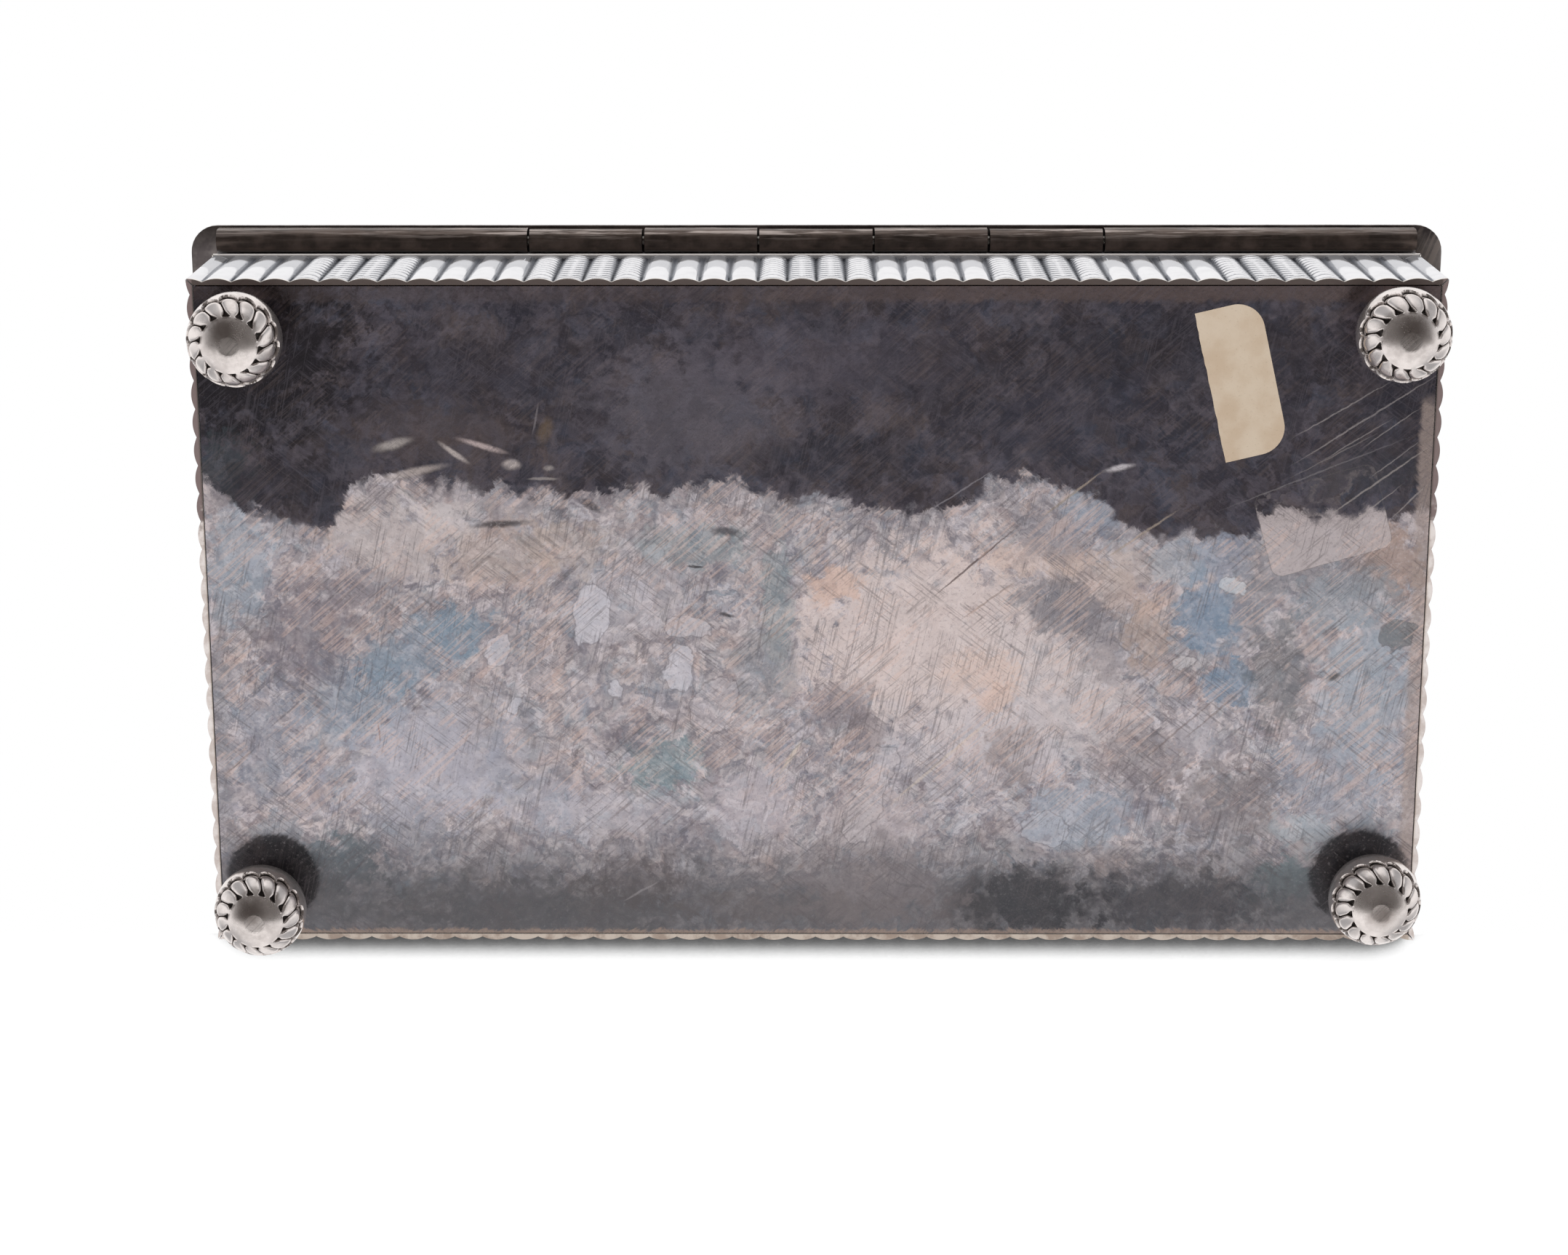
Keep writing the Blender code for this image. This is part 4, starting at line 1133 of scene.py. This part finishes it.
# %% Sizes of a foot
foot_height, foot_radius, flat_radius = 0.0140, 0.0075, 0.0015
foot_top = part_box("foot_back_left")[1].z
waist = 0.46 * foot_height
neck_radius, neck_height = 0.0042, 0.0012
flat_angle = math.asin(flat_radius / foot_radius)
neck_angle = math.pi - math.asin(neck_radius / foot_radius)
lower_height = waist / math.cos(flat_angle)
upper_height = (foot_top - neck_height - waist) / -math.cos(neck_angle)
print("foot top at mm:", round(foot_top * 1000, 2), "waist at mm:", round(waist * 1000, 2))


# %% The chased relief of one sector
pit_inner, pit_outer, notch = 36.5, 47.0, 62.5
head_start, head_end, arch_top = 58.0, 69.5, 77.0
gap_half, lobe_fall, lip = 0.462, 0.24, 0.05


def ramp(value, *points):
    """Straight lines between the given points."""
    return float(np.interp(value, [p[0] for p in points], [p[1] for p in points]))


def lobe_edge(angle):
    """Half width of a lobe as a share of the pitch, and 0 past its round head."""
    if angle < head_start:
        return ramp(angle, (pit_inner, 0.50), (pit_inner + 0.9, 0.205), (39.5, 0.215), (42.5, 0.33),
            (45.0, 0.415), (pit_outer, 0.445), (51.0, gap_half))
    return gap_half * math.sqrt(max(0.0, 1 - ((angle - head_start) / (head_end - head_start)) ** 2))


def chasing(angle, across):
    """Sunk depth in mm and recess at an angle in degrees; across runs from -0.5 to 0.5.
    The recess is partly oxide in the pits and grooves and partly painted shade at the lobes'
    rolled edges and under the arches.
    """
    out = abs(across)
    rise = math.sqrt(max(0.0, 1 - (2 * out) ** 2))
    arch = notch + (arch_top - notch) * rise
    if angle <= pit_inner or angle > arch:
        near_pit = ramp(pit_inner - angle, (0.0, 1.0), (1.6, 0.0)) * ramp(out, (0.16, 0.0), (0.24, 1.0))
        near_arch = ramp(angle - arch, (0.0, 1.0), (1.8, 0.0))
        return -lip * (near_pit if angle <= pit_inner else near_arch), 0.0
    edge = lobe_edge(angle)
    if angle > head_start:
        rim = math.hypot(out / gap_half, (angle - head_start) / (head_end - head_start))
    else:
        rim = out / edge
    pillow = ramp(angle, (pit_inner, 0.0), (42.0, 0.6), (50.0, 1.0))
    if rim <= 1.0:
        return lobe_fall * pillow * rim ** 5, 0.28 * max(0.0, rim - 0.86) / 0.14 * pillow
    if angle > head_start:
        past_head = min(1.0, (rim - 1.0) / 0.05)
        to_arch = (arch - angle) / max(1.0, arch - head_end + 4.0)
        scoop = ramp(to_arch, (0.0, 0.62), (0.10, 0.58), (0.45, 0.36), (1.0, 0.46))
        shade = ramp(to_arch, (0.0, 1.0), (0.16, 0.95), (0.34, 0.42), (0.75, 0.50), (1.0, 0.9))
        wall = min(1.0, (arch - angle) / 0.7)
        return (lobe_fall + (scoop - lobe_fall) * past_head) * wall, shade * wall
    share = min(1.0, (out - edge) / 0.03)
    floor = ramp(angle, (pit_inner, 0.25), (pit_inner + 1.0, 0.62), (42.0, 0.58), (pit_outer, 0.5))
    shade = ramp(angle, (pit_inner, 0.7), (38.5, 0.80), (44.0, 0.85), (50.0, 1.0))
    start = lobe_fall * pillow
    return start + (floor - start) * share, shade * min(1.0, 0.4 + share)


def sector(lobes, tall=74, wide_steps=32):
    """One sector of a foot about the Z axis, as a mesh with its recess number."""
    pitch = 2 * math.pi / lobes
    swirl = 0.9 * pitch
    spread = np.linspace(-1, 1, wide_steps + 1)
    across_steps = 0.25 * (spread + np.sin(math.pi / 2 * spread))
    flat = math.degrees(flat_angle)
    angles = [flat - 0.6, flat, 15, 20, 25, 30, 33] + list(np.linspace(34.6, 80, tall))
    angles += [83, 86, 90, 95, 101, 108, 116, 125, 135, math.degrees(neck_angle)]
    points, recess = [], []
    for angle in angles:
        turn = math.radians(angle)
        half = lower_height if angle < 90 else upper_height
        for across in across_steps:
            depth_mm, dark = chasing(angle, float(across))
            radius, rise = foot_radius * math.sin(turn), -half * math.cos(turn)
            keep = 1 - depth_mm / 1000 / math.hypot(radius, rise)
            inward = min(1.0, max(0.0, (90 - angle) / 56))
            azimuth = (across + 0.5) * pitch + swirl * inward
            points.append((keep * radius * math.cos(azimuth), keep * radius * math.sin(azimuth),
                max(0.0, waist + keep * rise)))
            recess.append(dark)
    for across in across_steps:
        azimuth = (across + 0.5) * pitch
        points.append((neck_radius * math.cos(azimuth), neck_radius * math.sin(azimuth), foot_top))
        recess.append(0.0)
    width = wide_steps + 1
    rows = len(points) // width
    faces = [(r * width + c, r * width + c + 1, (r + 1) * width + c + 1, (r + 1) * width + c)
        for r in range(rows - 1) for c in range(wide_steps)]
    low, top = len(points), len(points) + 1
    points += [(0.0, 0.0, 0.0), (0.0, 0.0, foot_top)]
    recess += [0.0, 0.0]
    last = (rows - 1) * width
    faces += [(low, c + 1, c) for c in range(wide_steps)]
    faces += [(top, last + c, last + c + 1) for c in range(wide_steps)]
    mesh = bpy.data.meshes.new("sector")
    mesh.from_pydata(points, [], faces)
    number_points(mesh, "recess", recess)
    return new_object("sector", mesh)


# %% Ring of sectors
foot_ring, given, result = geometry_tree("ring_of_lobes", [("Sector", "Object"), ("Lobes", "Int"),
    ("Turn", "Float"), ("Centre", "Vector"), ("Weld", "Float"), ("Finish", "Material")])
spots = grow("MeshLine", {"Count": given["Lobes"], "Offset": (0, 0, 0)})
slice_angle = sums("DIVIDE", 2 * math.pi, given["Lobes"])
angle = times(node("GeometryNodeInputIndex", tree=foot_ring).outputs[0], slice_angle)
angle = plus(angle, given["Turn"])
turn = joined({2: angle})
shape = node("GeometryNodeObjectInfo", {"Object": given["Sector"]}).outputs["Geometry"]
ring_of = grow("InstanceOnPoints", {"Points": spots, "Instance": shape, "Rotation": turn})
made = closed(ring_of, given["Weld"], given["Finish"])
feed(result["Geometry"], grow("Transform", {"Geometry": made, "Translation": given["Centre"]}))

# %% Build the four feet
sectors = {14: sector(14), 15: sector(15)}
for name, lobes, share in (("foot_front_left", 15, 0.83), ("foot_front_right", 15, 0.55),
        ("foot_back_left", 14, 0.75), ("foot_back_right", 14, 0.55)):
    low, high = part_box(name)
    centre = ((low.x + high.x) / 2, (low.y + high.y) / 2, 0.0)
    turn = share * 2 * math.pi / lobes
    foot = grown("chased_" + name, foot_ring, {"Sector": sectors[lobes], "Lobes": lobes, "Turn": turn,
        "Centre": centre, "Weld": 0.000001, "Finish": foot_silver})
    settle(foot, "case", "silver_foot", name, sharp=50.0)
    print(foot.name, len(foot.data.polygons), "faces")
for made in sectors.values():
    bpy.data.objects.remove(made)


# %% [markdown]
# ## Hinge and lid
# These CAD shapes are already right, but their round parts are faceted. A copy of each is
# welded, its flat faces merged and its edges eased by a small bevel, so that tubes look
# round and edges catch the light.

# %% Smooth copies of CAD nodes
def smooth_copy(name, body, slot, finish, ease=0.0):
    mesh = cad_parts[name].data.copy()
    mesh.name = "smooth_" + name
    work = bmesh.new()
    work.from_mesh(mesh)
    bmesh.ops.remove_doubles(work, verts=work.verts, dist=0.000005)
    bmesh.ops.dissolve_limit(work, angle_limit=math.radians(1), verts=[], edges=work.edges)
    turn_outwards(work, mesh)
    piece = new_object("smooth_" + name, mesh)
    mesh.shade_smooth()
    if ease:
        bevel = piece.modifiers.new("eased_edges", "BEVEL")
        bevel.width = ease
        bevel.segments = 2
        bevel.limit_method = "ANGLE"
        bevel.angle_limit = math.radians(40)
        apply_modifiers(piece)
    piece.data.materials.clear()
    piece.data.materials.append(finish)
    settle(piece, body, slot, name)


for name in ("case_knuckle_1", "case_knuckle_2", "case_knuckle_3"):
    smooth_copy(name, "case", "silver_hinge", hinge_silver, 0.00012)
for name in ("lid_knuckle_1", "lid_knuckle_2", "lid_barrel_left", "lid_barrel_right"):
    smooth_copy(name, "lid", "silver_hinge", hinge_silver, 0.00012)
smooth_copy("lid_frame", "lid", "silver_lid", lid_silver, 0.0002)
smooth_copy("lid_panel", "lid", "silver_lid", lid_silver)
smooth_copy("hinge_pin", "case", "silver_hinge", pin_steel)

# %% [markdown]
# ## Paper label
# A small paper label is stuck near one corner of the base. It is an oblong with two round
# corners, and its other long side is a rough torn edge. It is left bare.

# %% Build the label
label_corner = Vector((-0.0600, 0.0500))
label_across = Vector((-0.973, 0.231))
label_down = Vector((-0.231, -0.973))
label_width, label_length, label_round, paper = 0.0104, 0.0248, 0.0044, 0.00008
outline = [(0.0, 0.0)]
for centre_across, centre_down, first in ((label_width - label_round, label_round, -90),
        (label_width - label_round, label_length - label_round, 0)):
    for step in range(13):
        turn = math.radians(first + step * 7.5)
        outline.append((centre_across + label_round * math.cos(turn),
            centre_down + label_round * math.sin(turn)))
outline.append((0.0, label_length))
torn_steps = 24
ragged = np.random.default_rng(7).normal(0.0, 0.00006, torn_steps)
for step in range(1, torn_steps):
    outline.append((float(ragged[step]), label_length * (1 - step / torn_steps)))
plate_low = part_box("base_plate")[0].z
flat = [label_corner + label_across * a + label_down * d for a, d in outline]
faces_at = (plate_low, plate_low - paper)
label_mesh = bar("paper_label", *([(p.x, p.y, z) for p in flat] for z in faces_at))
label = new_object("paper_label", label_mesh)
label_mesh.materials.append(label_paper)
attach(label, "case")
print("label in mm:", round(label_width * 1000, 1), round(label_length * 1000, 1))

# %% [markdown]
# ## Finishes of the CAD nodes that stay
# The base plate and the cedar boards are shown as the CAD has them, with their new finishes.

# %% Dress the nodes
finishes = {plate_silver: ("base_plate",),
    cedar_long: ("lining_floor", "front_lining", "back_lining", "lid_lining"),
    cedar_short: ("left_lining", "right_lining", "divider")}
for finish, names in finishes.items():
    for name in names:
        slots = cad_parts[name].data.materials
        slots.clear()
        slots.append(finish)
scene.view_settings.view_transform = "Standard"

# %% [markdown]
# ## Size of the dressed box
# The dressed box must fill the same space as the CAD model, so its size is printed.

# %% Print the size
low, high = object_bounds()
print("visual box in mm:", [round(side * 1000, 2) for side in high - low])
